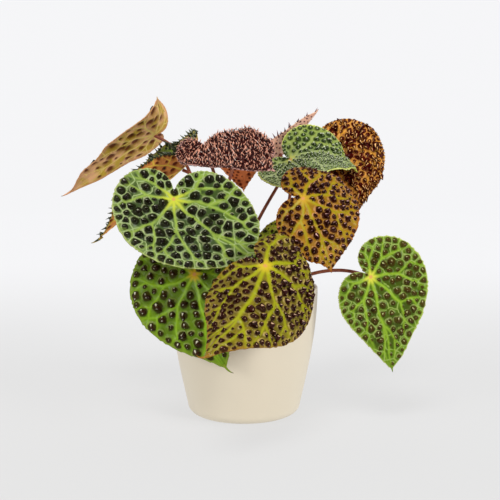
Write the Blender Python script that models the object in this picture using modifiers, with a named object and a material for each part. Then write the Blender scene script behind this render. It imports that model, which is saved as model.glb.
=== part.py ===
"""Potted begonia.

A begonia with thirteen rough, lopsided, heart-shaped leaves in a plain tapered plastic pot. A rhizome
lies on the potting soil, and every leaf stands on a petiole of its own that grows from the rhizome.

Metres, +Z up, angles in degrees. The origin is the centre of the pot's flat underside, on the surface
that the pot stands on. +X is the plant's right and -Y its front.
"""
import math
from dataclasses import dataclass

import bpy
import numpy as np

MM = 0.001
GAP = 0.0003                    # clearance between pieces that touch

# Pot: a turned wall, convex from the heel to the rim
POT_HEIGHT = 0.117
RIM_RADIUS = 0.067
HEEL_RADIUS = 0.0515            # outside, where the rounded foot meets the wall
HEEL_HEIGHT = 0.009
FOOT_RADIUS = 0.0405            # edge of the flat underside
WALL = 0.0022
FLOOR = 0.003
INNER_HEEL_HEIGHT = 0.012
TURNED_STEPS = 48

# Soil: level in the middle, a little lower along the wall
SOIL_LEVEL = 0.100
SOIL_EDGE_DROP = 0.0015
SOIL_FLAT_RADIUS = 0.045

# Rhizome: a creeping stem that lies on the soil in a slight S
RHIZOME_RADIUS = 0.0045
RHIZOME_REACH = 0.031           # from its middle to either end
RHIZOME_SWAY = 0.003
RHIZOME_SHOULDER = 0.027        # it tapers beyond this distance from the middle

# Petioles
PETIOLE_BASE_RADIUS = 0.0017
PETIOLE_TOP_RADIUS = 0.0015
PETIOLE_POINTS = 13
BASE_SLOPE = 50.0               # how high up the rhizome's flank a petiole grows, from the level

# Blades
BLADE_THICKNESS = 0.0012
BLADE_CELLS = 10                # cells along each side of the square grid that becomes a blade
MIDRIB_FOLD_WIDTH = 0.10        # of the blade's length, over which it folds beside the midrib
NOTCH_DEPTH = 0.06              # of the blade's length, left between the junction and the notch
WIDTH_ONSET = 0.12              # share of the way round, over which the width factors come in


@dataclass(frozen=True)
class Leaf:
    """One leaf: its blade and the petiole that carries it. Lengths in millimetres."""

    name: str
    at: tuple            # where the petiole joins the blade
    length: float        # from there to the tip
    heading: float       # of the midrib: 0 is +X, 90 is +Y
    pitch: float         # of the midrib, tip up is positive
    roll: float          # positive lifts the blade's left side
    notch: float         # where the notch lies from the midrib, positive on the left
    widths: tuple        # factors on the broad and on the narrow side
    fold: tuple          # upward fold of the left and of the right half, beside the midrib
    curl: tuple          # further upward bend of the left and right half, over one length
    arch: float          # upward bend of the midrib, over one length
    back: float          # upward bend of the lobes behind the junction, over one length
    sweep: float         # sideways bend of the midrib at the tip, to the left
    base: tuple          # petiole base: distance along the rhizome, and +1 for its rear flank
    rise: tuple          # petiole at its base: elevation, and reach of that direction
    arrival: tuple       # petiole at the blade: heading, elevation, and reach
    color: tuple


LEAVES = (
    Leaf("big_green", (-60, -52, 201), 90, -15, -44, 58, 134, (1.16, 1.29), (19, 22), (-6, -4), 0, 5, 21,
         (-24, -1), (75, 60), (-86, -20, 40), (0.12, 0.22, 0.05)),
    Leaf("low_green", (-42, -58, 137), 85, -75, -62, 32, 139, (1.20, 1.05), (0, 8), (-10, -9), -28, -21, 15,
         (-16, -1), (60, 40), (-125, -15, 35), (0.10, 0.23, 0.02)),
    Leaf("olive_front", (18, -97, 150), 101, -113, -41, -24, -121, (1.07, 1.05), (-30, -23), (-42, -28), 5,
         -50, -20, (2, -1), (46, 40), (-82, 0, 40), (0.26, 0.22, 0.02)),
    Leaf("gold_right", (52, -26, 199), 70, -51, -46, 24, -123, (1.25, 1.28), (-8, -8), (-20, -17), -24, -38,
         -9, (20, 1), (85, 50), (-75, 25, 55), (0.42, 0.20, 0.02)),
    Leaf("heart_right", (112, -30, 130), 85, -43, -69, 38, -140, (1.0, 1.0), (8, 5), (-11, -12), -22, -21, 0,
         (24, -1), (36, 36), (-35, -18, 35), (0.09, 0.25, 0.03)),
    Leaf("copper_top", (83, 78, 234), 67, -61, -50, 28, -138, (1.25, 1.0), (6, 8), (-10, -10), -15, -20, 6,
         (12, 1), (50, 80), (-60, 15, 45), (0.48, 0.18, 0.03)),
    Leaf("folded_green", (44, 54, 228), 67, -5, 34, 29, 115, (1.18, 1.36), (39, 4), (0, -5), -86, 75, -20,
         (-3.5, 1), (86, 50), (-2, 60, 60), (0.20, 0.30, 0.08)),
    Leaf("young_pink", (34, 84, 232), 54, 0, 49, -16, 135, (0.62, 0.6), (0, 50), (0, 0), 0, 60, 0,
         (6, 1), (68, 60), (150, 60, 68), (0.40, 0.18, 0.14)),
    Leaf("young_purple", (-34, 0, 241), 76, -40, -5, 24, 137, (0.68, 1.35), (6, 0), (0, 0), -15, 240, 0,
         (-8, -1), (82, 60), (-110, 45, 50), (0.12, 0.05, 0.05)),
    Leaf("brown_back", (-3, 44, 238), 48, 85, -55, 0, -135, (1.0, 1.0), (10, 10), (0, 0), 0, 0, 0,
         (-10.5, 1), (70, 60), (0, 60, 50), (0.30, 0.10, 0.04)),
    Leaf("tan_far_left", (-87, 90, 250.5), 99, 180, -33, 27, -137, (0.84, 0.70), (-5, -2), (-5, 5), -10, 250,
         16, (-24, 1), (65, 90), (-150, 22, 50), (0.40, 0.24, 0.10)),
    Leaf("brown_left", (-57, 34, 221), 103, 180, -40, 12, 135, (1.0, 1.1), (30, 45), (5, 10), 0, 160, 0,
         (-17, 1), (72, 55), (150, 15, 40), (0.34, 0.16, 0.06)),
    Leaf("small_middle", (38, -12, 162), 46, -115, -60, 0, 135, (1.0, 1.0), (5, 5), (-10, -10), -20, -10, 0,
         (8, -1), (70, 25), (-110, 10, 20), (0.10, 0.20, 0.03)),
)

POT_COLOR = (0.72, 0.66, 0.54)
SOIL_COLOR = (0.045, 0.028, 0.018)
RHIZOME_COLOR = (0.20, 0.09, 0.05)
PETIOLE_COLOR = (0.25, 0.07, 0.03)


def clear_scene():
    """Remove every object that the scene starts with."""
    for item in list(bpy.data.objects):
        bpy.data.objects.remove(item, do_unlink=True)


def material(name, color, roughness):
    """A plain Principled material."""
    made = bpy.data.materials.new(name)
    made.use_nodes = True
    shader = made.node_tree.nodes["Principled BSDF"]
    shader.inputs["Base Color"].default_value = (*color, 1.0)
    shader.inputs["Roughness"].default_value = roughness
    shader.inputs["Metallic"].default_value = 0.0
    return made


def add_object(name, data, finish, parts):
    """Put a mesh or a curve into the collection as a named object with its own material."""
    item = bpy.data.objects.new(name, data)
    item.data.materials.append(finish)
    parts.objects.link(item)
    return item


# --- Turned pieces ---------------------------------------------------------------------------------

def wall_radius(height):
    """Outside radius of the pot: a quarter sine from the heel to the rim."""
    share = (height - HEEL_HEIGHT) / (POT_HEIGHT - HEEL_HEIGHT)
    return HEEL_RADIUS + (RIM_RADIUS - HEEL_RADIUS) * math.sin(0.5 * math.pi * share)


def heel(start, end, steps=5):
    """Quarter ellipse that leaves start level and reaches end upright."""
    turns = [0.5 * math.pi * i / steps for i in range(steps + 1)]
    return [(start[0] + (end[0] - start[0]) * math.sin(turn),
             start[1] + (end[1] - start[1]) * (1.0 - math.cos(turn))) for turn in turns]


def wall(low, high, inset, steps=9):
    """Points up the pot's wall, a distance inside its outer face."""
    heights = [low + (high - low) * i / steps for i in range(steps + 1)]
    return [(wall_radius(height) - inset, height) for height in heights]


def rim(steps=4):
    """Half round over the top edge, from the inside to the outside."""
    radius = 0.5 * WALL
    middle = RIM_RADIUS - radius
    turns = [math.pi * i / steps for i in range(1, steps)]
    return [(middle - radius * math.cos(turn), POT_HEIGHT - radius + radius * math.sin(turn))
            for turn in turns]


def inner_side(inset, top):
    """Points from the pot's inner floor up its inner wall, a distance clear of both."""
    corner = (wall_radius(INNER_HEEL_HEIGHT) - WALL - inset, INNER_HEEL_HEIGHT)
    floor_edge = (FOOT_RADIUS - MM - inset, FLOOR + inset)
    return heel(floor_edge, corner) + wall(INNER_HEEL_HEIGHT, top, WALL + inset)[1:]


def turned(name, profile, finish, parts):
    """Turn a profile of (radius, height) points about the Z axis."""
    mesh = bpy.data.meshes.new(name)
    points = [(radius, 0.0, height) for radius, height in profile]
    edges = [(i, i + 1) for i in range(len(points) - 1)]
    mesh.from_pydata(points, edges, [])
    item = add_object(name, mesh, finish, parts)
    screw = item.modifiers.new("turn", "SCREW")
    screw.axis = "Z"
    screw.steps = TURNED_STEPS
    screw.render_steps = TURNED_STEPS
    screw.use_merge_vertices = True
    screw.merge_threshold = 0.00001
    screw.use_smooth_shade = True
    return item


def build_pot(parts):
    """The pot: floor, inner wall, rounded rim, outer wall, rounded foot and flat underside."""
    wall_top = POT_HEIGHT - 0.5 * WALL
    outside = wall(HEEL_HEIGHT, wall_top, 0.0)
    foot = heel((FOOT_RADIUS, 0.0), (HEEL_RADIUS, HEEL_HEIGHT))[:-1]
    profile = [(0.0, FLOOR)] + inner_side(0.0, wall_top) + rim()
    profile += outside[::-1] + foot[::-1] + [(0.0, 0.0)]
    turned("pot", profile, material("pot", POT_COLOR, 0.35), parts)


def build_soil(parts):
    """The soil: it fills the pot to its level, clear of the wall and the floor."""
    edge_height = SOIL_LEVEL - SOIL_EDGE_DROP
    side = inner_side(GAP, edge_height)
    profile = [(0.0, SOIL_LEVEL), (SOIL_FLAT_RADIUS, SOIL_LEVEL)]
    profile += side[::-1] + [(0.0, FLOOR + GAP)]
    turned("soil", profile, material("soil", SOIL_COLOR, 0.95), parts)


# --- Stems -----------------------------------------------------------------------------------------

def tube(name, points, radii, sides_level, finish, parts):
    """A round stem along a line of points, with a radius at each point and filled ends."""
    curve = bpy.data.curves.new(name, "CURVE")
    curve.dimensions = "3D"
    curve.bevel_depth = 1.0
    curve.bevel_resolution = sides_level
    curve.use_fill_caps = True
    spline = curve.splines.new("POLY")
    spline.points.add(len(points) - 1)
    for knot, point, radius in zip(spline.points, points, radii):
        knot.co = (*point, 1.0)
        knot.radius = radius
    return add_object(name, curve, finish, parts)


def rhizome_point(along):
    """Centre of the rhizome at a distance along it."""
    sway = RHIZOME_SWAY * math.sin(math.pi * along / RHIZOME_REACH)
    return np.array((along, sway, SOIL_LEVEL + GAP + RHIZOME_RADIUS))


def rhizome_taper(along):
    """Share of the full radius: it narrows to a blunt point beyond each shoulder."""
    past = max(0.0, abs(along) - RHIZOME_SHOULDER) / (RHIZOME_REACH - RHIZOME_SHOULDER)
    return math.sqrt(max(0.0, 1.0 - 0.85 * past * past))


def build_rhizome(parts):
    """The rhizome, a stem of 10 sides from one end to the other."""
    distances = np.linspace(-RHIZOME_REACH, RHIZOME_REACH, 17)
    points = [rhizome_point(along) for along in distances]
    radii = [RHIZOME_RADIUS * rhizome_taper(along) for along in distances]
    tube("rhizome", points, radii, 3, material("rhizome", RHIZOME_COLOR, 0.7), parts)


def unit(vector):
    """The vector at length one."""
    return vector / np.linalg.norm(vector)


def direction(heading, elevation):
    """Unit vector from a heading and an elevation."""
    turn, lift = math.radians(heading), math.radians(elevation)
    return np.array((math.cos(turn) * math.cos(lift), math.sin(turn) * math.cos(lift), math.sin(lift)))


def seat(surface, outward, along, radius):
    """Middle of a tube's end that clears a surface by the gap, however the tube leans."""
    lean = math.sqrt(max(0.0, 1.0 - float(np.dot(outward, along)) ** 2))
    return surface + outward * (GAP + radius * lean)


def blade_axes(leaf):
    """Unit vectors of a blade at its junction: along the midrib, to the left, and up."""
    ahead = direction(leaf.heading, leaf.pitch)
    level = direction(leaf.heading + 90.0, 0.0)
    above = np.cross(ahead, level)
    turn = math.radians(leaf.roll)
    left = level * math.cos(turn) + above * math.sin(turn)
    return ahead, left, np.cross(ahead, left)


def petiole_points(leaf):
    """A cubic curve from the rhizome's flank to the blade's underside."""
    along, flank = leaf.base[0] * MM, leaf.base[1]
    centre = rhizome_point(along)
    run = unit(rhizome_point(along + MM) - rhizome_point(along - MM))
    sideways = unit(np.cross((0.0, 0.0, 1.0), run)) * flank
    slope = math.radians(BASE_SLOPE)
    outward = sideways * math.cos(slope) + np.array((0.0, 0.0, 1.0)) * math.sin(slope)
    junction = np.array(leaf.at) * MM
    towards = junction - centre
    heading = math.degrees(math.atan2(towards[1], towards[0]))
    leaving = direction(heading, leaf.rise[0])
    start = seat(centre + outward * RHIZOME_RADIUS, outward, leaving, PETIOLE_BASE_RADIUS)
    underside = -blade_axes(leaf)[2]
    arriving = direction(leaf.arrival[0], leaf.arrival[1])
    under = junction + underside * 0.5 * BLADE_THICKNESS
    end = seat(under, underside, arriving, PETIOLE_TOP_RADIUS)
    first = start + leaving * leaf.rise[1] * MM
    second = end - arriving * leaf.arrival[2] * MM
    shares = np.linspace(0.0, 1.0, PETIOLE_POINTS)[:, None]
    rest = 1.0 - shares
    return rest**3 * start + 3 * rest**2 * shares * first + 3 * rest * shares**2 * second + shares**3 * end


def build_petiole(leaf, parts):
    """The leaf's petiole, a slender tapering stem of 8 sides."""
    radii = np.linspace(PETIOLE_BASE_RADIUS, PETIOLE_TOP_RADIUS, PETIOLE_POINTS)
    name = "petiole_" + leaf.name
    tube(name, petiole_points(leaf), radii, 2, material(name, PETIOLE_COLOR, 0.5), parts)


# --- Blades ----------------------------------------------------------------------------------------

def broad_side(share):
    """Radius of the broad side over the length, from the tip at 0 round to the notch at 1."""
    return 0.62 * (1.0 - share**2.6) ** 0.7 + 0.38 * np.exp(-((share / 0.095) ** 1.15))


def narrow_side(share):
    """Radius of the narrow side over the length, from the tip at 0 round to the notch at 1."""
    return 0.70 * (1.0 - share) ** 0.75 + 0.30 * np.exp(-((share / 0.09) ** 1.2))


def square_to_disc(cells):
    """A square grid drawn out to a disc: radius 0 to 1, and turn -1 to 1.

    The tip lies at one corner of the square, at turn 0, and the notch at the opposite one.
    """
    steps = np.linspace(-1.0, 1.0, cells + 1)
    u, v = np.meshgrid(steps, steps, indexing="ij")
    return np.maximum(np.abs(u), np.abs(v)), np.arctan2(v - u, v + u) / math.pi


def flat_blade(leaf):
    """Places on the flat blade, in millimetres ahead and to the left of the junction."""
    radius, turn = square_to_disc(BLADE_CELLS)
    left_span = leaf.notch % 360.0
    on_left = turn >= 0.0
    span = np.where(on_left, left_span, 360.0 - left_span)
    broad = on_left == (left_span > 180.0)
    share = np.abs(turn)
    factor = np.where(broad, leaf.widths[0], leaf.widths[1])
    widening = 1.0 + (factor - 1.0) * (1.0 - np.exp(-((share / WIDTH_ONSET) ** 2)))
    edge = np.where(broad, broad_side(share), narrow_side(share)) * widening
    reach = leaf.length * np.sqrt(edge**2 + NOTCH_DEPTH**2) * radius
    angle = np.radians(turn * span)
    ahead = reach * np.cos(angle)
    left = reach * np.sin(angle)
    sweep = 0.5 * math.tan(math.radians(leaf.sweep)) * np.maximum(ahead, 0.0) ** 2 / leaf.length
    return ahead, left + sweep


def bent_line(distances, start_angle, onset, bend, length):
    """Where places along a line go when it bends upward: over, up, and the angle there.

    The angle is start_angle coming in over the onset, and bend for each length along the line.
    """
    steps = np.linspace(0.0, 1.3 * length, 300)
    angles = math.radians(start_angle) * (1.0 - np.exp(-steps / onset)) + math.radians(bend) * steps / length
    stride = steps[1] - steps[0]
    over = np.concatenate(([0.0], np.cumsum(stride * np.cos(0.5 * (angles[1:] + angles[:-1])))))
    up = np.concatenate(([0.0], np.cumsum(stride * np.sin(0.5 * (angles[1:] + angles[:-1])))))
    away = np.abs(distances)
    return np.interp(away, steps, over), np.interp(away, steps, up), np.interp(away, steps, angles)


def blade_points(leaf):
    """The blade folded and curled about its midrib, then bent along it, and put in place."""
    ahead, left = flat_blade(leaf)
    onset = MIDRIB_FOLD_WIDTH * leaf.length
    halves = [bent_line(left, leaf.fold[i], onset, leaf.curl[i], leaf.length) for i in (0, 1)]
    across = np.where(left >= 0.0, halves[0][0], -halves[1][0])
    lifted = np.where(left >= 0.0, halves[0][1], halves[1][1])
    front = bent_line(ahead, 0.0, onset, leaf.arch, leaf.length)
    rear = bent_line(ahead, 0.0, onset, leaf.back, leaf.length)
    forward = np.where(ahead >= 0.0, front[0], -rear[0])
    height = np.where(ahead >= 0.0, front[1], rear[1])
    tilt = np.where(ahead >= 0.0, front[2], -rear[2])
    e_ahead, e_left, e_up = blade_axes(leaf)
    normal = -np.sin(tilt)[..., None] * e_ahead + np.cos(tilt)[..., None] * e_up
    points = forward[..., None] * e_ahead + height[..., None] * e_up
    points = points + across[..., None] * e_left + lifted[..., None] * normal
    return (np.array(leaf.at) + points) * MM


def build_blade(leaf, parts):
    """The leaf's blade: an open sheet of quads that Solidify makes a thin closed solid."""
    points = blade_points(leaf).reshape(-1, 3)
    row = BLADE_CELLS + 1
    faces = [(i * row + j, (i + 1) * row + j, (i + 1) * row + j + 1, i * row + j + 1)
             for i in range(BLADE_CELLS) for j in range(BLADE_CELLS)]
    name = "leaf_" + leaf.name
    mesh = bpy.data.meshes.new(name)
    mesh.from_pydata(points.tolist(), [], faces)
    mesh.shade_smooth()
    item = add_object(name, mesh, material(name, leaf.color, 0.45), parts)
    shell = item.modifiers.new("thickness", "SOLIDIFY")
    shell.thickness = BLADE_THICKNESS
    shell.offset = 0.0


def main():
    """Build every piece of the potted begonia."""
    clear_scene()
    parts = bpy.data.collections.new("potted_begonia")
    bpy.context.scene.collection.children.link(parts)
    build_pot(parts)
    build_soil(parts)
    build_rhizome(parts)
    for leaf in LEAVES:
        build_petiole(leaf, parts)
        build_blade(leaf, parts)


main()
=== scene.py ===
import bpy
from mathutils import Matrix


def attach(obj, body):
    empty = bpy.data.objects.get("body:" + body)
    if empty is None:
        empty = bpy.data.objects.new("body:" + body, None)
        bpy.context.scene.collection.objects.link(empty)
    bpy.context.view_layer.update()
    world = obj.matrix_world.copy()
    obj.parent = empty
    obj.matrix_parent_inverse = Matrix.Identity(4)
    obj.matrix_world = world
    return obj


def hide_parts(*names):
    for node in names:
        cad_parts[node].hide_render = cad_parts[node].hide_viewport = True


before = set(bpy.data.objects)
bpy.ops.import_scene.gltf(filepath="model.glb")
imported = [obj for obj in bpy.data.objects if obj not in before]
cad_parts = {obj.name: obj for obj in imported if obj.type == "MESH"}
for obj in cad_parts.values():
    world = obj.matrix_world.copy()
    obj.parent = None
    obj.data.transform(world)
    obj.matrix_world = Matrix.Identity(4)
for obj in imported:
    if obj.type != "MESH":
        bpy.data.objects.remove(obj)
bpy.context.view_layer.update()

"""Dressed scene of the potted begonia.

Thirteen lopsided leaves with raised cones between pale veins stand on reddish petioles, which grow from a
rhizome on the soil of a plain tapered pot. Metres, +Z up, angles in degrees; leaf sizes in millimetres.
"""
import logging
import math
from dataclasses import dataclass, field, replace

import bpy
import numpy as np
from mathutils import Vector

log = logging.getLogger("begonia")

MM = 0.001
Array = np.ndarray
Color = tuple[float, float, float]


# --- Small numeric helpers -------------------------------------------------------------------------

def unit(vector: Array) -> Array:
    """Vectors at length one, along the last axis."""
    return vector / np.maximum(np.linalg.norm(vector, axis=-1, keepdims=True), 1e-12)


def direction(heading: float, elevation: float) -> Array:
    """Unit vector from a heading and an elevation in degrees."""
    turn, lift = math.radians(heading), math.radians(elevation)
    return np.array((math.cos(turn) * math.cos(lift), math.sin(turn) * math.cos(lift), math.sin(lift)))


def smooth_step(low: float, high: float, value: Array) -> Array:
    """0 below low, 1 above high, and 3x^2 - 2x^3 between them."""
    share = np.clip((value - low) / (high - low), 0.0, 1.0)
    return share * share * (3.0 - 2.0 * share)


def waves(points: Array, size: float, seed: int, count: int = 12) -> Array:
    """Smooth random swell between about -1 and 1.

    The mean of plane cosine waves with random directions, phases and lengths near the size, scaled up.

    Args:
        points: Places, with their coordinates along the last axis.
        size: Typical wave length, in the points' own unit.
        seed: Seed of the random draw.
        count: Number of waves.

    Returns:
        One value per point.
    """
    draw = np.random.default_rng(seed)
    headings = unit(draw.normal(size=(count, points.shape[-1])))
    stretch = draw.uniform(0.7, 1.6, count) / size
    phases = draw.uniform(0.0, 2.0 * math.pi, count)
    angles = 2.0 * math.pi * (points @ headings.T) * stretch + phases
    return np.cos(angles).sum(axis=-1) / math.sqrt(0.5 * count) * 0.5


def linear(red: int, green: int, blue: int) -> Color:
    """Scene-linear colour from screen values 0 to 255."""
    shares = [value / 255.0 for value in (red, green, blue)]
    return tuple(s / 12.92 if s <= 0.04045 else ((s + 0.055) / 1.055) ** 2.4 for s in shares)


# --- Meshes ----------------------------------------------------------------------------------------

@dataclass(frozen=True)
class Shape:
    """A mesh as whole arrays, in metres."""

    points: Array
    quads: Array = field(default_factory=lambda: np.empty((0, 4), int))
    triangles: Array = field(default_factory=lambda: np.empty((0, 3), int))
    fields: dict[str, Array] = field(default_factory=dict)       # a value for each point, by name

    def piece(self, name: str) -> bpy.types.Object:
        """Make an object of it: smooth if it has quads, and faceted if it only has triangles.

        Args:
            name: Object name.

        Returns:
            The new object, in the scene.
        """
        loops = np.concatenate((self.quads.reshape(-1), self.triangles.reshape(-1))).astype(np.int32)
        totals = np.repeat((4, 3), (len(self.quads), len(self.triangles))).astype(np.int32)
        starts = np.concatenate(([0], np.cumsum(totals)[:-1])).astype(np.int32)
        mesh = bpy.data.meshes.new(name)
        mesh.vertices.add(len(self.points))
        mesh.vertices.foreach_set("co", self.points.astype(np.float32).reshape(-1))
        mesh.loops.add(len(loops))
        mesh.loops.foreach_set("vertex_index", loops)
        mesh.polygons.add(len(totals))
        mesh.polygons.foreach_set("loop_start", starts)
        mesh.polygons.foreach_set("loop_total", totals)
        for key, values in self.fields.items():
            layer = mesh.attributes.new(key, "FLOAT", "POINT")
            layer.data.foreach_set("value", values.astype(np.float32).reshape(-1))
        mesh.update(calc_edges=True)
        mesh.validate()
        if len(self.quads):
            mesh.shade_smooth()
        item = bpy.data.objects.new(name, mesh)
        bpy.context.scene.collection.objects.link(item)
        return item

    def dress(self, name: str, material: bpy.types.Material, slot: str, node: str = "") -> None:
        """Make a piece of the plant or the pot, which rides on the root body.

        Args:
            name: Object name.
            material: Its material.
            slot: Not used.
            node: The CAD node that it stands for, if there is one.
        """
        item = self.piece(name)
        item.data.materials.append(material)
        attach(item, "root")
        if node:
            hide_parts(node)


def grid_quads(rows: int, columns: int, start: int = 0, wrap: bool = False) -> Array:
    """Quads of a grid whose points are numbered row by row.

    Args:
        rows: Number of rows of points.
        columns: Number of points in a row.
        start: Number of the first point.
        wrap: Whether the last column joins the first.

    Returns:
        One row of four point numbers for each quad.
    """
    across = np.arange(columns if wrap else columns - 1)
    down = np.arange(rows - 1)
    row, column = np.meshgrid(down, across, indexing="ij")
    after = (column + 1) % columns
    quads = np.stack((row * columns + column, (row + 1) * columns + column,
                      (row + 1) * columns + after, row * columns + after), axis=-1)
    return quads.reshape(-1, 4) + start


def fan(tip: int, ring: Array) -> Array:
    """Triangles from one point to each step of a closed ring of points."""
    return np.stack((np.full(len(ring), tip), ring, np.roll(ring, -1)), axis=-1)


def turned(profile: Array, steps: int) -> Shape:
    """Turn a profile of (radius, height) points about the Z axis.

    Every point of the profile is carried round a circle; the ends lie on the axis and close with fans.

    Args:
        profile: Points from one end on the axis to the other, with the material on the left.
        steps: Number of steps round.

    Returns:
        The closed mesh.
    """
    turns = np.linspace(0.0, 2.0 * math.pi, steps, endpoint=False)
    rings = profile[1:-1]
    ring_points = np.stack((rings[:, :1] * np.cos(turns), rings[:, :1] * np.sin(turns),
                            np.repeat(rings[:, 1:], steps, axis=1)), axis=-1).reshape(-1, 3)
    ends = np.array(((0.0, 0.0, profile[0, 1]), (0.0, 0.0, profile[-1, 1])))
    first = np.arange(steps)
    last = first + (len(rings) - 1) * steps
    fans = np.vstack((fan(len(ring_points), first), fan(len(ring_points) + 1, last)[:, (0, 2, 1)]))
    return Shape(np.vstack((ring_points, ends)), grid_quads(len(rings), steps, wrap=True), fans)


def tube(path: Array, radii: Array, sides: int) -> Shape:
    """Carry a circle along a path, with a point on the axis at either end.

    The circle's axes at each point are the path's direction crossed with a fixed side vector.

    Args:
        path: Points along the middle.
        radii: Radius at each point.
        sides: Number of sides.

    Returns:
        The closed mesh, whose field "along" is each point's share of the way along.
    """
    run = unit(np.gradient(path, axis=0))
    spread = path[-1] - path[0]
    level = abs(spread[1]) < 0.6 * np.linalg.norm(spread)
    helper = np.array((0.0, 1.0, 0.0) if level else (1.0, 0.0, 0.0))
    side = unit(np.cross(run, helper))
    other = np.cross(run, side)
    turns = np.linspace(0.0, 2.0 * math.pi, sides, endpoint=False)[None, :, None]
    ring = np.cos(turns) * side[:, None] + np.sin(turns) * other[:, None]
    points = (path[:, None] + ring * radii[:, None, None]).reshape(-1, 3)
    points = np.vstack((points, path[:1], path[-1:]))
    first = np.arange(sides)
    last = first + (len(path) - 1) * sides
    caps = np.vstack((fan(len(points) - 2, first)[:, (0, 2, 1)], fan(len(points) - 1, last)))
    along = np.concatenate((np.repeat(np.linspace(0.0, 1.0, len(path)), sides), (0.0, 1.0)))
    return Shape(points, grid_quads(len(path), sides, wrap=True)[:, ::-1], caps, {"along": along})


# --- Shader graph ----------------------------------------------------------------------------------

class Value:
    """A node's output socket; operators on it add Math nodes."""

    def __init__(self, graph: "Graph", socket: bpy.types.NodeSocket) -> None:
        """Keep the graph and the socket."""
        self.graph = graph
        self.socket = socket

    def _math(self, operation: str, first: "Value | float", second: "Value | float") -> "Value":
        """One Math node on two values."""
        return self.graph.node("ShaderNodeMath", {"operation": operation}, {0: first, 1: second})

    def __add__(self, other: "Value | float") -> "Value":
        """Sum."""
        return self._math("ADD", self, other)

    __radd__ = __add__

    def __sub__(self, other: "Value | float") -> "Value":
        """Difference."""
        return self._math("SUBTRACT", self, other)

    def __rsub__(self, other: "Value | float") -> "Value":
        """Difference from a number."""
        return self._math("SUBTRACT", other, self)

    def __mul__(self, other: "Value | float") -> "Value":
        """Product."""
        return self._math("MULTIPLY", self, other)

    __rmul__ = __mul__

    def most(self, other: "Value | float") -> "Value":
        """Larger of the two."""
        return self._math("MAXIMUM", self, other)

    def step(self, low: float, high: float) -> "Value":
        """0 at low and 1 at high, smooth between them; low may be above high."""
        sockets = {"Value": self, "From Min": min(low, high), "From Max": max(low, high),
                   "To Min": 0.0 if low < high else 1.0, "To Max": 1.0 if low < high else 0.0}
        return self.graph.node("ShaderNodeMapRange", {"interpolation_type": "SMOOTHSTEP"}, sockets)


Link = Value | float | Color


class Graph:
    """Node tree of one Principled material."""

    def __init__(self, name: str) -> None:
        """Start a material with a Principled shader."""
        self.material = bpy.data.materials.new(name)
        self.material.use_nodes = True
        self.tree = self.material.node_tree
        self.shader = self.tree.nodes["Principled BSDF"]
        self.place = self.node("ShaderNodeTexCoord", {}, {}, "Object")

    def set(self, node: bpy.types.Node, key: str | int, value: Link) -> None:
        """Link a value to a node's input socket, or set the socket to a constant."""
        socket = node.inputs[key]
        if isinstance(value, Value):
            self.tree.links.new(value.socket, socket)
        elif isinstance(value, tuple):
            socket.default_value = (*value, 1.0) if len(socket.default_value) == 4 else value
        else:
            socket.default_value = value

    def node(self, kind: str, settings: dict, sockets: dict, output: str | int = 0) -> Value:
        """Add a node.

        Args:
            kind: Type of the node.
            settings: Properties of the node, set first.
            sockets: Values or links of its input sockets.
            output: The output socket to return.

        Returns:
            The chosen output.
        """
        made = self.tree.nodes.new(kind)
        for key, value in settings.items():
            setattr(made, key, value)
        for key, value in sockets.items():
            self.set(made, key, value)
        return Value(self, made.outputs[output])

    def field(self, name: str) -> Value:
        """A mesh attribute."""
        return self.node("ShaderNodeAttribute", {"attribute_name": name}, {}, "Fac")

    def noise(self, size: float, detail: float = 3.0, roughness: float = 0.5) -> Value:
        """Noise from 0 to 1 whose features are about a size in metres across."""
        sockets = {"Vector": self.place, "Scale": 1.0 / size, "Detail": detail, "Roughness": roughness}
        return self.node("ShaderNodeTexNoise", {}, sockets, "Fac")

    def mix(self, factor: Value | float, first: Link, second: Link) -> Value:
        """Colour mix from the first at 0 to the second at 1."""
        return self.node("ShaderNodeMix", {"data_type": "RGBA"}, {0: factor, 6: first, 7: second}, 2)

    def scaled(self, color: Link, factor: Value) -> Value:
        """Colour times a value."""
        return self.node("ShaderNodeVectorMath", {"operation": "SCALE"}, {0: color, 3: factor})

    def bump(self, height: Value, distance: float) -> None:
        """Feed the shader's normal from a height between 0 and 1 over a distance in metres."""
        sockets = {"Height": height, "Distance": distance, "Strength": 1.0}
        self.finish({"Normal": self.node("ShaderNodeBump", {}, sockets, "Normal")})

    def finish(self, sockets: dict) -> bpy.types.Material:
        """Set or link the shader's own sockets, and return the material."""
        for key, value in sockets.items():
            self.set(self.shader, key, value)
        return self.material


# --- Finishes --------------------------------------------------------------------------------------

@dataclass(frozen=True)
class Palette:
    """Colours of one leaf, in screen values 0 to 255."""

    tissue: Color                                # blade beside the veins
    deep: Color                                  # blade between the veins
    vein: Color                                  # main veins
    net: Color                                   # fine veins round the cones
    cone: Color                                  # skin at the foot of a cone
    rim: Color                                   # margin
    hub: Color                                   # where the veins meet
    left: Color | None = None                    # tissue towards the blade's left side, if it differs
    under: Color = (150, 122, 84)                # underside
    under_mottle: Color = (140, 120, 70)         # underside, in patches
    under_vein: Color = (184, 120, 76)           # veins of the underside
    pit: Color = (92, 44, 32)                    # hollow cones, seen from below
    ring: Color = (186, 180, 130)                # thin pale ring round each cone, partly a painted highlight on its lit side

    def by_name(self) -> dict[str, Color]:
        """Each colour in scene-linear values, by name."""
        return {key: linear(*(value or self.tissue)) for key, value in vars(self).items()}


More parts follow.
